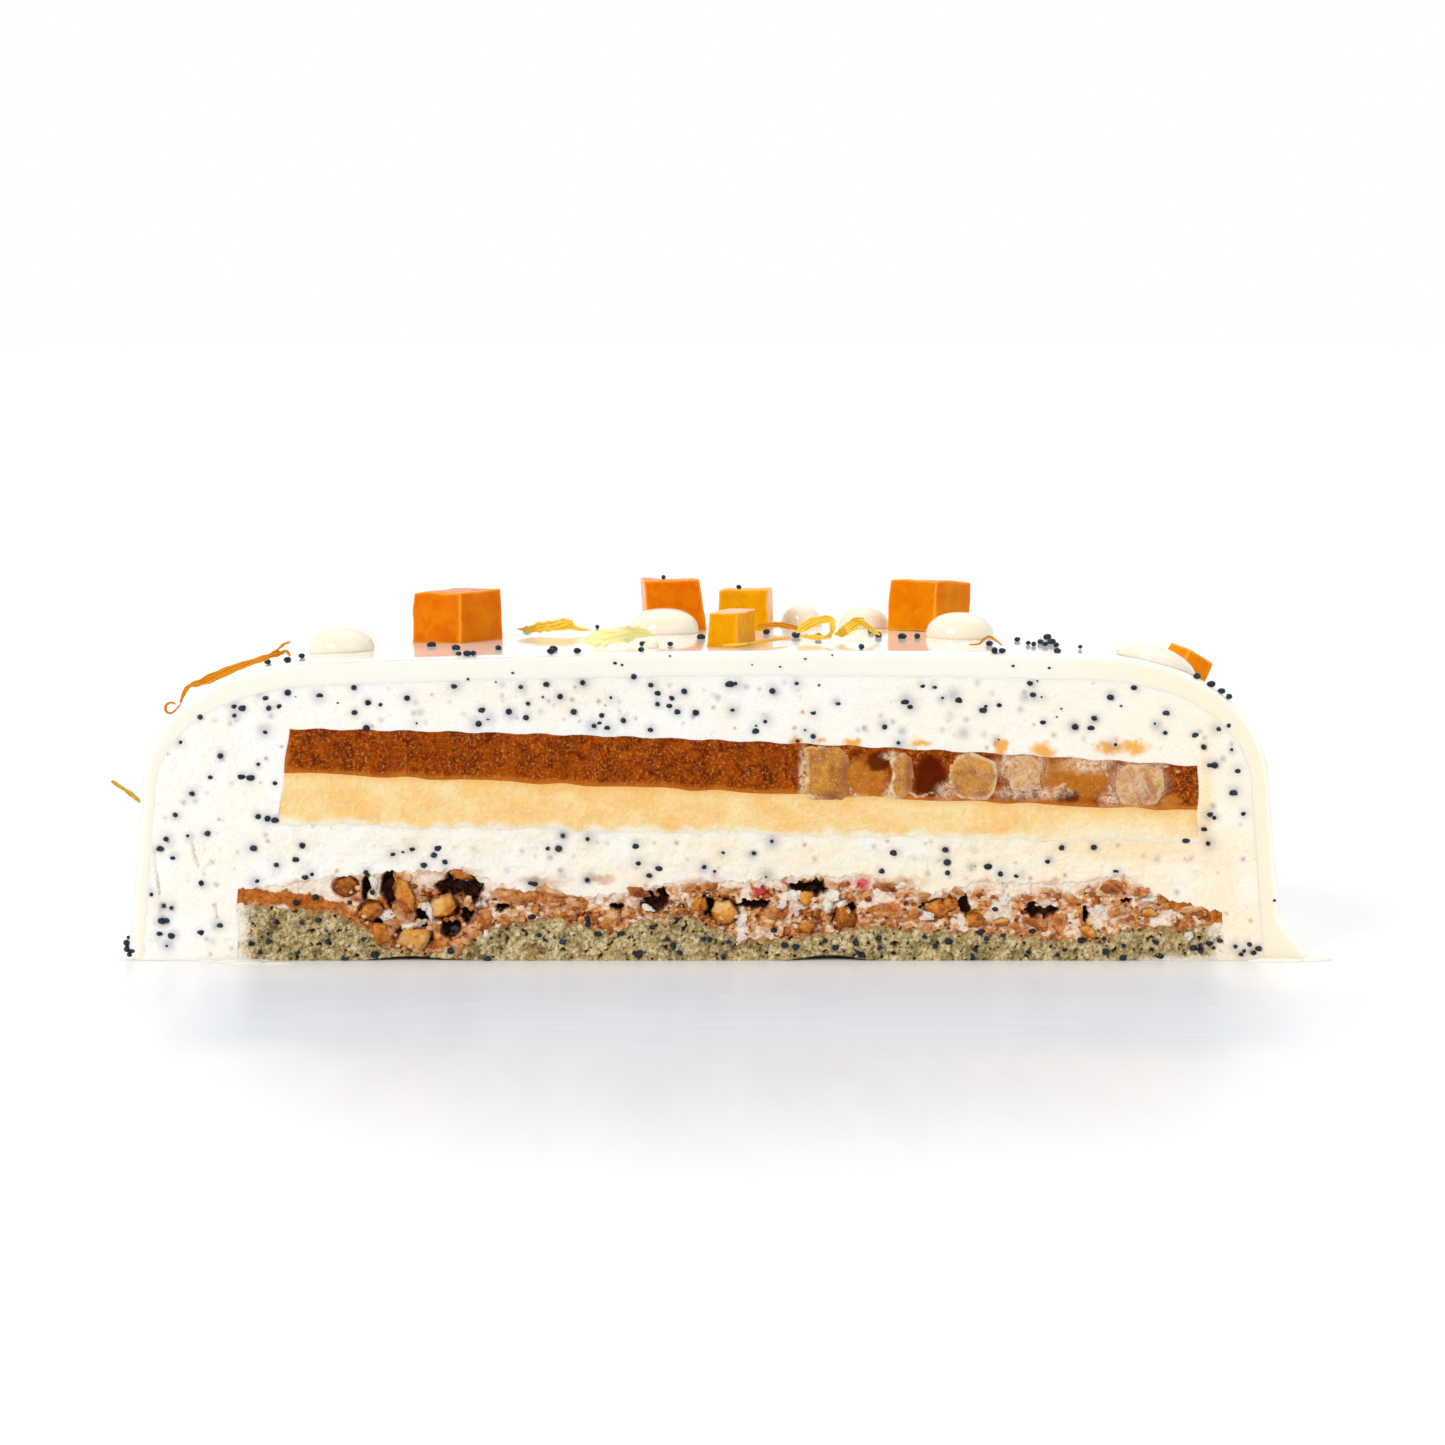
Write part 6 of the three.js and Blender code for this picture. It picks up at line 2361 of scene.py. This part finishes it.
@dataclass
class JellyDice:
    """Six dice of apricot jelly on top of the cake."""

    dice: tuple[Die, ...] = (
        Die(-40.4, 33.4, (10.4, 10.8, 8.3), -38, (0.02, 0.03)),
        Die(-5.2, 55.0, (9.8, 9.6, 8.4), 5, (-0.1, 0.04), painted_face_highlight=((0, 0.0, 0.25),)),
        Die(6.6, 53.5, (8.4, 8.0, 6.8), -7, (0.0, 0.0), (222, 146, 0), (230, 162, 0), ((0, 1.0, 0.2),)),
        Die(4.1, 12.1, (5.0, 9.3, 5.6), -20, (0.04, 0.0), (224, 148, 0), (231, 163, 0), ((2, 1.0, 0.4),)),
        Die(36.8, 51.5, (10.0, 9.9, 8.4), -39, (0.0, 0.0), (218, 114, 0), (228, 136, 0)),
        Die(76.2, 17.5, (5.8, 5.8, 3.6), 30, (0.0, 0.0), (224, 124, 0), (232, 146, 0)),
    )
    corner: float = 0.22
    sink: float = 0.15
    taper: float = 0.05
    steps: int = 14

    def covers(self, x: float, y: float) -> bool:
        """True where a seed would touch a die."""
        return any(math.hypot(x - d.x, y - d.y) < 0.5 * max(d.size[:2]) + 0.6 for d in self.dice)

    def top_place(self, number: int, across: float, along: float) -> Place:
        """Place for a seed on top of a die.

        Args:
            number: which die, from 0.
            across: share of its size off its middle.
            along: the same in the other direction.

        Returns:
            The seed's centre.
        """
        die = self.dice[number]
        x, y = die.x + across * die.size[0], die.y + along * die.size[1]
        return x, y, float(FORM.surface(die.x, die.y)) + die.size[2] + 0.3

    def block(self, die: Die, draw: Draw) -> tuple[Array, Array, Array, Array]:
        """One die with softly rounded corners.

        Args:
            die: its sizes and looks.
            draw: source of its unevenness.

        Returns:
            Points, triangles, how near each point is to an edge, and how pale a painted highlight makes it.
        """
        first = [0, 0.015, 0.035, 0.06]
        ticks = np.concatenate([first, np.linspace(0.1, 0.9, self.steps), [0.94, 0.965, 0.985, 1]])
        surface = Surface()
        for axis in range(3):
            for end in (0.0, 1.0):
                a, b = np.meshgrid(ticks, ticks)
                grid = np.zeros((*a.shape, 3))
                grid[..., axis] = end
                grid[..., (axis + 1) % 3] = a
                grid[..., (axis + 2) % 3] = b
                surface.add_grid(grid)
        unit = np.vstack(surface.points)
        size = np.array(die.size)
        flat = (unit - (0.5, 0.5, 0)) * size
        middle = np.array([0, 0, size[2] / 2])
        limit = size / 2 - self.corner
        kept = np.clip(flat - middle, -limit, limit)
        away = flat - middle - kept
        length = np.linalg.norm(away, axis=1)
        ahead = away / np.maximum(length, TINY)[:, None]
        rounded = kept + ahead * np.minimum(length, self.corner)[:, None] + middle
        near = np.sort(size / 2 - np.abs(flat - middle), axis=1)[:, 1]
        seed = draw.uniform(0, 30)
        rounded += 0.2 * np.stack([spread_noise(rounded, 4, seed + k, 2) for k in range(3)], 1)
        painted_face_highlight = np.zeros(len(unit))
        for axis, end, strength in die.painted_face_highlight:
            near_face = np.abs(unit[:, axis] - end) < 1e-6
            painted_face_highlight = np.maximum(painted_face_highlight, np.where(near_face, strength, 0))
        share = rounded[:, 2:3] / size[2]
        rounded[:, :2] *= 1 - self.taper * share
        rounded[:, :2] += np.array(die.slant) * rounded[:, 2:3]
        return rounded, np.vstack(surface.triangles), 1 - eased(near, 0.05, 0.5), painted_face_highlight

    def build(self) -> None:
        """Makes the dice."""
        draw = np.random.default_rng(71)
        for number, die in enumerate(self.dice, 1):
            points, triangles, near, painted_face_highlight = self.block(die, draw)
            surface = Surface()
            placed = set_on_glaze(points, die.x, die.y, die.turn, self.sink)
            surface.add(placed, triangles)
            mesh = surface.mesh(f"apricot_die_{number}")
            final = mesh_points(mesh)
            looks = zip(near.tolist(), painted_face_highlight.tolist())
            lookup = {tuple(np.round(p, 3)): n for p, n in zip(placed.tolist(), looks)}
            edge, pale = np.array([lookup.get(tuple(np.round(p, 3)), (0.5, 0)) for p in final.tolist()]).T
            material = DiceFinish(die.body, die.light).material(f"apricot_jelly_die_{number}")
            # painted highlights along the edges and on the pale faces
            marks = {"edge": 0.5 * edge, "painted_face_highlight": pale}
            finish_piece(mesh, final, material, marks, [f"jelly_die_{number}"], 40)


@dataclass
class GlazeDrops:
    """Six drops of clear glaze on top of the cake, and a dew drop."""

    drops: tuple[Spot, ...] = (
        (-58.4, 18.6, 5.3, 3.4), (-7.0, 42.0, 5.9, 3.7), (15.9, 61.0, 3.4, 3.2), (26.2, 58.0, 4.2, 3.1),
        (41.2, 32.0, 5.4, 3.7), (71.2, 6.8, 6.4, 2.2),
    )
    dew: Spot = (-8.6, 7.5, 1.25, 1.1)
    sides: int = 72
    rings: int = 20

    def covers(self, x: float, y: float) -> bool:
        """True where a seed would touch a drop."""
        return any(math.hypot(x - dx, y - dy) < radius + 0.4 for dx, dy, radius, _ in self.drops)

    def dome(self, x: float, y: float, radius: float, height: float, draw: Draw) -> Surface:
        """One drop: a dome with a slightly uneven foot, following the glaze under it.

        Args:
            x: its middle along the cut.
            y: its middle behind the cut.
            radius: of its foot.
            height: over the glaze.
            draw: source of its unevenness.

        Returns:
            The growing mesh.
        """
        around = np.linspace(0, CIRCLE, self.sides + 1)
        phase = draw.uniform(0, 6.28, 2)
        foot = radius * (1 + 0.03 * np.sin(2 * around + phase[0]) + 0.015 * np.sin(3 * around + phase[1]))
        rows = []
        for turn in np.linspace(-0.35, QUARTER, self.rings):
            reach = foot * max(0.0, math.cos(turn)) ** 0.85
            rise = height * (math.sin(turn) if turn > 0 else 0.45 * math.sin(turn)) + 0.12 * height
            px, py = x + reach * np.cos(around), y + reach * np.sin(around)
            rows.append(np.stack([px, py, FORM.surface(px, py) + max(rise, -0.25)], 1))
        closing = np.repeat([[x, y, float(FORM.surface(x, y)) - 0.25]], len(around), axis=0)
        surface = Surface()
        surface.add_grid(np.array([closing, *rows]))
        return surface

    def build(self) -> None:
        """Makes the drops."""
        draw = np.random.default_rng(81)
        material = DropFinish().material()
        for number, (x, y, radius, height) in enumerate(self.drops, 1):
            mesh = self.dome(x, y, radius, height, draw).mesh(f"clear_drop_{number}")
            finish_piece(mesh, mesh_points(mesh), material, None, [f"glaze_drop_{number}"])
        mesh = self.dome(*self.dew, draw).mesh("dew_drop")
        finish_piece(mesh, mesh_points(mesh), material)


class PetalKind(Enum):
    """Finish of a dried petal: its heart and its edge."""

    ORANGE = ((176, 90, 4), (226, 148, 18))
    YELLOW = ((226, 156, 20), (248, 212, 84))
    PALE = ((250, 236, 132), (252, 246, 196))
    BROWN = ((150, 112, 30), (214, 176, 84))


@dataclass(frozen=True)
class Petal:
    """One petal: its kind, its route as x, y, lift over the glaze and width, and its side strands."""

    kind: PetalKind
    points: tuple[Spot, ...]
    strands: tuple[tuple[Spot, ...], ...] = ()


@dataclass
class DriedPetals:
    """Dried marigold petals strewn over the top, most of them standing on edge."""

    petals: tuple[Petal, ...] = (
        Petal(PetalKind.ORANGE, (
            (-82.7, 3, 0.4, 0.6), (-82.1, 3, 1.5, 0.9), (-81.2, 3, 1.9, 0.6), (-79.6, 3, 1.3, 1.1),
            (-76.9, 3, 0.9, 1.4), (-73.5, 3, 0.9, 1.2), (-70, 3, 1, 1.1), (-67.5, 3, 1.3, 1.0),
            (-66.2, 3, 1.3, 0.5),
        ), (
            ((-83.4, 3, 0.9, 0.3), (-84.1, 3, 1.9, 0.4), (-84.8, 3, 2.4, 0.4), (-85.0, 3, 2.0, 0.4),
             (-84.7, 3, 1.1, 0.4), (-84.1, 3, 0.3, 0.35), (-83.4, 3, 0.1, 0.3), (-82.6, 3, 0.2, 0.3)),
            ((-68.6, 3, 1.4, 0.4), (-67.2, 3, 2.0, 0.4), (-66.4, 3, 2.6, 0.4), (-65.2, 3, 2.9, 0.3)),
            ((-67.4, 3, 1.2, 0.5), (-66, 3, 1.5, 0.5), (-65.3, 3, 0.6, 0.4)),
        )),
        Petal(PetalKind.BROWN, ((-89.3, 8, -1.4, 0.6), (-91.6, 8, 0.4, 0.8), (-94.2, 8, 2.2, 0.6))),
        Petal(PetalKind.YELLOW, (
            (-31, 43, 0.8, 0.4), (-29, 43, 0.7, 0.9), (-27, 43, 1.1, 1.9), (-24.9, 43, 1.2, 2),
            (-22.9, 43, 1.4, 2), (-21.4, 43, 0.7, 0.7), (-19.2, 42, 0.4, 0.4),
        )),
        Petal(PetalKind.PALE, (
            (-19.3, 8.5, 0.7, 0.7), (-18, 9, 1.1, 1.9), (-16.1, 9.5, 1.4, 2.9), (-14.4, 10.5, 1.5, 3),
            (-12.7, 12, 1.5, 2.8), (-11.3, 14.5, 1.5, 2.3), (-9.9, 17.5, 1.3, 1.6), (-8.5, 20, 0.8, 0.5),
        )),
        Petal(PetalKind.ORANGE, (
            (8.5, 44, 0.6, 0.6), (9.7, 44, 0.8, 0.9), (12.1, 43, 0.9, 1.0), (14.4, 40, 0.6, 0.8),
            (15.5, 38, 0.5, 0.4),
        )),
        Petal(PetalKind.YELLOW, (
            (14.5, 25, 0.7, 0.6), (15.6, 24, 1.6, 1.4), (17.4, 23, 2.6, 1.5), (19.8, 22, 3.1, 1.2),
            (20.3, 19.5, 2.1, 1.1), (19.6, 16.5, 0.7, 0.9), (17.3, 17.5, 0.5, 0.9), (15, 21, 0.5, 0.6),
        )),
        Petal(PetalKind.YELLOW, (
            (20.6, 22, 0.7, 0.7), (21.9, 22, 1.0, 1.7), (23, 22, 1.8, 1.8), (24.5, 23, 2.6, 1.5),
            (25.8, 24, 2, 1.1), (27.1, 25, 1, 0.8), (28.1, 25, 0.4, 0.4),
        )),
        Petal(PetalKind.YELLOW, (
            (2.8, 4.5, 0.3, 0.4), (6.5, 6, 0.4, 0.4), (10.2, 12, 0.4, 0.5), (13.2, 17.5, 0.4, 0.4),
        )),
        Petal(PetalKind.ORANGE, (
            (41.7, 8, 0.3, 0.3), (43.2, 8.5, 0.4, 0.3), (44, 9.5, 1, 0.4), (44.9, 10, 1.5, 0.4),
            (45.9, 9, 1, 0.4), (46.8, 7, 0.4, 0.3),
        )),
    )
    gap: float = 0.3
    lean: float = 0.45
    thickness: float = 0.14
    across_steps: int = 13

    def sheet(self, places: Sequence[Sequence[float]], draw: Draw) -> tuple[Array, ...]:
        """Front side of a petal or of a strand of one.

        Args:
            places: its route.
            draw: source of its ruffles.

        Returns:
            Rows of points, the direction square to it, how near each point is to its edge, and its veins.
        """
        route = np.array(places)
        height = [float(FORM.surface(x, y)) for x, y in route[:, :2].tolist()]
        middle = np.column_stack([route[:, :2], np.array(height) + route[:, 2] + self.gap])
        share = np.linspace(0, 1, 12 * len(route))
        line = smooth_route(middle, share)
        half = smooth_route(route[:, 3:], share)[:, 0] / 2
        half *= 1 - 0.55 * np.abs(2 * share - 1) ** 9
        ahead = np.gradient(line, axis=0)
        across = np.cross(ahead, (0, 1, 0))
        across /= np.maximum(np.linalg.norm(across, axis=1), TINY)[:, None]
        across += (0, self.lean, 0)
        across /= np.linalg.norm(across, axis=1)[:, None]
        normal = np.cross(ahead, across)
        normal /= np.maximum(np.linalg.norm(normal, axis=1), TINY)[:, None]
        y = np.linspace(-1, 1, self.across_steps)
        phase = draw.uniform(0, 6.28, 4)
        frayed = 1 + 0.14 * np.sin(31 * share + phase[0]) * np.sin(13 * share)
        frayed = frayed + 0.08 * np.sin(57 * share + phase[3])
        grid = line[:, None] + across[:, None] * (y[None, :, None] * (half * frayed)[:, None, None])
        fold = np.sin(9 * share[:, None] + 5 * y + phase[1]) * np.abs(y)
        crimp = np.sin(23 * share[:, None] + 4 * y + phase[2])
        width = 2 * half[:, None]
        grid += normal[:, None] * (width * (0.16 * fold + 0.05 * crimp))[..., None]
        rim = np.broadcast_to(np.abs(y) ** 4, grid.shape[:2])
        veins = 0.5 + 0.5 * np.sin(11 * y + 2 * np.sin(6 * share[:, None]) + phase[1])
        return grid, np.broadcast_to(normal[:, None], grid.shape), rim, veins

    def build(self) -> None:
        """Makes the petals."""
        draw = np.random.default_rng(91)
        materials = {k: PetalFinish(f"petal_{k.name.lower()}", *k.value).material() for k in PetalKind}
        for number, petal in enumerate(self.petals, 1):
            surface = Surface()
            places, rims, lines = [], [], []
            for route in (petal.points, *petal.strands):
                front, normal, rim, veins = self.sheet(route, draw)
                back = front - normal * self.thickness
                surface.add_grid(np.concatenate([front, back[:, ::-1], front[:, :1]], axis=1))
                for end in (0, -1):
                    surface.add_grid(np.stack([front[end], back[end]], axis=0))
                places.append(front.reshape(-1, 3))
                rims.append(rim.reshape(-1))
                lines.append(veins.reshape(-1))
            mesh = surface.mesh(f"dried_petal_{number}", weld=0.005)
            final = mesh_points(mesh)
            flat, rim, veins = np.concatenate(places), np.concatenate(rims), np.concatenate(lines)
            nearest = [int(np.argmin(np.abs(flat - p).sum(1))) for p in final]
            marks = {"rim": 0.7 * rim[nearest], "vein": veins[nearest]}
            finish_piece(mesh, final, materials[petal.kind], marks, [f"petal_{number}"])


@dataclass
class Smears:
    """Glaze and mousse smeared on the table at both ends of the cut."""

    puddles: tuple[tuple[float, float, float, float, float], ...] = (
        (-73.0, -1.8, 4.6, 2.2, 0.5), (-76.5, -0.9, 3.0, 1.3, 0.45), (94.5, 0.5, 4.2, 2.0, 0.45),
        (-67.5, -3.4, 2.6, 1.2, 0.3), (90.0, -0.8, 4.0, 1.6, 0.6), (-74.5, -0.7, 3.6, 1.2, 0.7),
        (-70.5, -1.4, 2.8, 1.2, 0.45),
    )
    rings: tuple[float, ...] = (0, 0.25, 0.5, 0.7, 0.85, 0.95, 1.0)
    sides: int = 60

    def build(self) -> None:
        """Makes the smears."""
        surface = Surface()
        draw = np.random.default_rng(95)
        for x, y, long, wide, thick in self.puddles:
            around = np.linspace(0, CIRCLE, self.sides + 1)
            phase = draw.uniform(0, 6.28, 3)
            uneven = 1 + 0.16 * np.sin(2 * around + phase[0]) + 0.1 * np.sin(3 * around + phase[1])
            uneven = uneven + 0.02 * np.sin(7 * around + phase[2])
            rows = []
            for size in self.rings:
                px, py = x + long * size * uneven * np.cos(around), y + wide * size * uneven * np.sin(around)
                rise = thick * math.sqrt(1 - size**2)
                rows.append(np.stack([px, py, np.full(len(px), rise + 0.02)], 1))
            rows.append(rows[-1] * (1, 1, 0))
            rows.append(np.repeat([[x, y, 0.0]], len(around), axis=0))
            surface.add_grid(np.array(rows))
        mesh = surface.mesh("glaze_smears", weld=0.001)
        points = mesh_points(mesh)
        points[:, 2] *= 1 + 0.2 * spread_noise(points, 1.6, 96, 2)
        mark = np.zeros(len(points))
        material = GlazeFinish(top=(246, 240, 228)).material()
        finish_piece(mesh, points, material, {"cut": mark, "rim": mark})


@dataclass
class Studio:
    """Camera, lights and table."""

    eye: Vector = field(default_factory=lambda: Vector((0.00267, -0.945, 0.126)))
    aim: Vector = field(default_factory=lambda: Vector((0.00267, -0.045, 0.0377)))
    photo_size: float = 1445.0
    sensor: float = 36.0
    room_front: float = 0.3
    room_back: float = 1.0
    key: float = 1.72
    fill: float = 0.66
    overhead: float = 0.6
    lamp_away: float = 2.0
    ray: tuple[float, float, int] = (895, 990, 6000)  # its start, its end and how many places it tests
    table_fine: float = 260.0
    table_rings: tuple[float, ...] = (320, 420, 600, 900, 1500, 3000)
    table_drop: float = 0.02

    def focal_pixels(self) -> float:
        """Focal length in pixels of the photograph."""
        return (self.aim - self.eye).length / (PIXEL * METRES)

    def on_glaze(self, px: float, py: float) -> Place:
        """Place on the cake's surface under a pixel of the photograph.

        Args:
            px: the pixel's column.
            py: the pixel's row.

        Returns:
            The place in cake coordinates.
        """
        ahead = (self.aim - self.eye).normalized()
        right = Vector((1, 0, 0))
        up = right.cross(ahead)
        middle, focal = self.photo_size / 2, self.focal_pixels()
        ray = (ahead + right * ((px - middle) / focal) + up * ((middle - py) / focal)).normalized()
        eye = np.array(self.eye) / METRES + (0, ORIGIN_BEHIND_CUT, 0)
        places = eye + np.array(ray) * np.linspace(*self.ray)[:, None]
        over = places[:, 2] - FORM.surface(places[:, 0], places[:, 1])
        over[(places[:, 1] < 0.4) | (np.hypot(places[:, 0], places[:, 1]) > FORM.side_top_radius)] = np.inf
        hits = np.flatnonzero(over <= 0)
        x, y, z = places[hits[0] if len(hits) else int(np.argmin(over))]
        return float(x), float(y), float(z)

    def build(self) -> None:
        """Sets up the camera, the lights and the table."""
        camera = bpy.data.objects.new("camera", bpy.data.cameras.new("camera"))
        camera.data.sensor_width = self.sensor
        camera.data.lens = self.focal_pixels() * self.sensor / self.photo_size
        camera.data.clip_start = 0.05
        camera.location = self.eye
        camera.rotation_euler = (self.aim - self.eye).to_track_quat("-Z", "Y").to_euler()
        bpy.context.scene.collection.objects.link(camera)
        bpy.context.scene.camera = camera
        self.lights()
        self.table()

    def lights(self) -> None:
        """A white room with a soft key from the upper left and a softer fill from the right."""
        world = bpy.data.worlds.new("white_room")
        bpy.context.scene.world = world
        world.use_nodes = True
        tree = world.node_tree
        towards = tree.nodes.new("ShaderNodeTexCoord").outputs["Generated"]
        parts = tree.nodes.new("ShaderNodeSeparateXYZ")
        tree.links.new(towards, parts.inputs[0])
        room = tree.nodes.new("ShaderNodeMapRange")
        edges = {"From Min": -0.3, "From Max": 0.35, "To Min": self.room_front, "To Max": self.room_back}
        for name, number in edges.items():
            room.inputs[name].default_value = number
        tree.links.new(parts.outputs["Y"], room.inputs["Value"])
        seen = tree.nodes.new("ShaderNodeLightPath").outputs["Is Camera Ray"]
        strength = tree.nodes.new("ShaderNodeMath")
        strength.operation = "MAXIMUM"
        tree.links.new(seen, strength.inputs[0])
        tree.links.new(room.outputs["Result"], strength.inputs[1])
        back = tree.nodes["Background"]
        back.inputs["Color"].default_value = (1, 1, 1, 1)
        tree.links.new(strength.outputs["Value"], back.inputs["Strength"])
        bpy.context.scene.view_settings.view_transform = "Standard"
        for name, towards, angle, power in (
            ("key", (-0.55, -0.75, 0.5), 25, self.key),
            ("fill", (0.75, -0.7, 0.35), 60, self.fill),
            ("overhead", (0.1, 0.25, 1), 60, self.overhead),
        ):
            lamp = bpy.data.lights.new(name, "SUN")
            lamp.angle = math.radians(angle)
            lamp.energy = power
            light = bpy.data.objects.new(name, lamp)
            light.location = Vector(towards) * self.lamp_away
            light.rotation_euler = (-Vector(towards)).to_track_quat("-Z", "Y").to_euler()
            bpy.context.scene.collection.objects.link(light)

    def table(self) -> None:
        """The table, with its painted shadow and reflection of the cake fading away from it."""
        rings = np.concatenate([np.linspace(0, self.table_fine, 140), self.table_rings])
        around = np.linspace(0, CIRCLE, 241)
        x, y = rings[:, None] * np.cos(around), rings[:, None] * np.sin(around)
        surface = Surface()
        surface.add_grid(np.stack([x, y + 20, np.zeros_like(x)], axis=2))
        mesh = surface.mesh("table", weld=0.01)
        points = mesh_points(mesh)
        front = np.minimum(points[:, 1], 0)
        wander = 4 * np.sin(0.17 * points[:, 0]) + 3 * np.sin(0.41 * points[:, 0] + 1)
        # near and far: painted shadow and reflection of the cake on the table in front of it
        before = (1 - eased(points[:, 1], 0, 12)) * (0.05 + 0.95 * eased(-front, 0, 45))
        near = before * (1 - eased(np.abs(points[:, 0] - 4.5), 70, 86)) * (1 - eased(wander - front, 74, 104))
        far = before * (1 - eased(np.hypot((points[:, 0] - 8) / 1.05, front * 0.5), 48, 124))
        mesh.vertices.foreach_set("co", ((points - (0, ORIGIN_BEHIND_CUT, self.table_drop)) * METRES).ravel())
        write_marks(mesh, {"near": near, "far": far})
        mesh.materials.append(TableFinish().material())
        mesh.update()
        table = bpy.data.objects.new("table", mesh)
        bpy.context.scene.collection.objects.link(table)


def main() -> None:
    """Builds the cake, its toppings and the studio."""
    logging.basicConfig(level=logging.INFO, format="%(message)s")
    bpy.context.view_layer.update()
    studio = Studio()
    studio.build()
    WhiteGlaze().build()
    seeds, buried = SeedDraw().places()
    PoppyMousse(seeds, buried).build()
    ApricotInsert().build()
    NutCrunch().build()
    sponge = PoppySponge()
    sponge.build()
    dice, drops = JellyDice(), GlazeDrops()
    dice.build()
    drops.build()
    DriedPetals().build()
    PoppySeeds(seeds, dice, drops, sponge.seeds).build(studio)
    Smears().build()


if __name__ == "__main__":
    main()
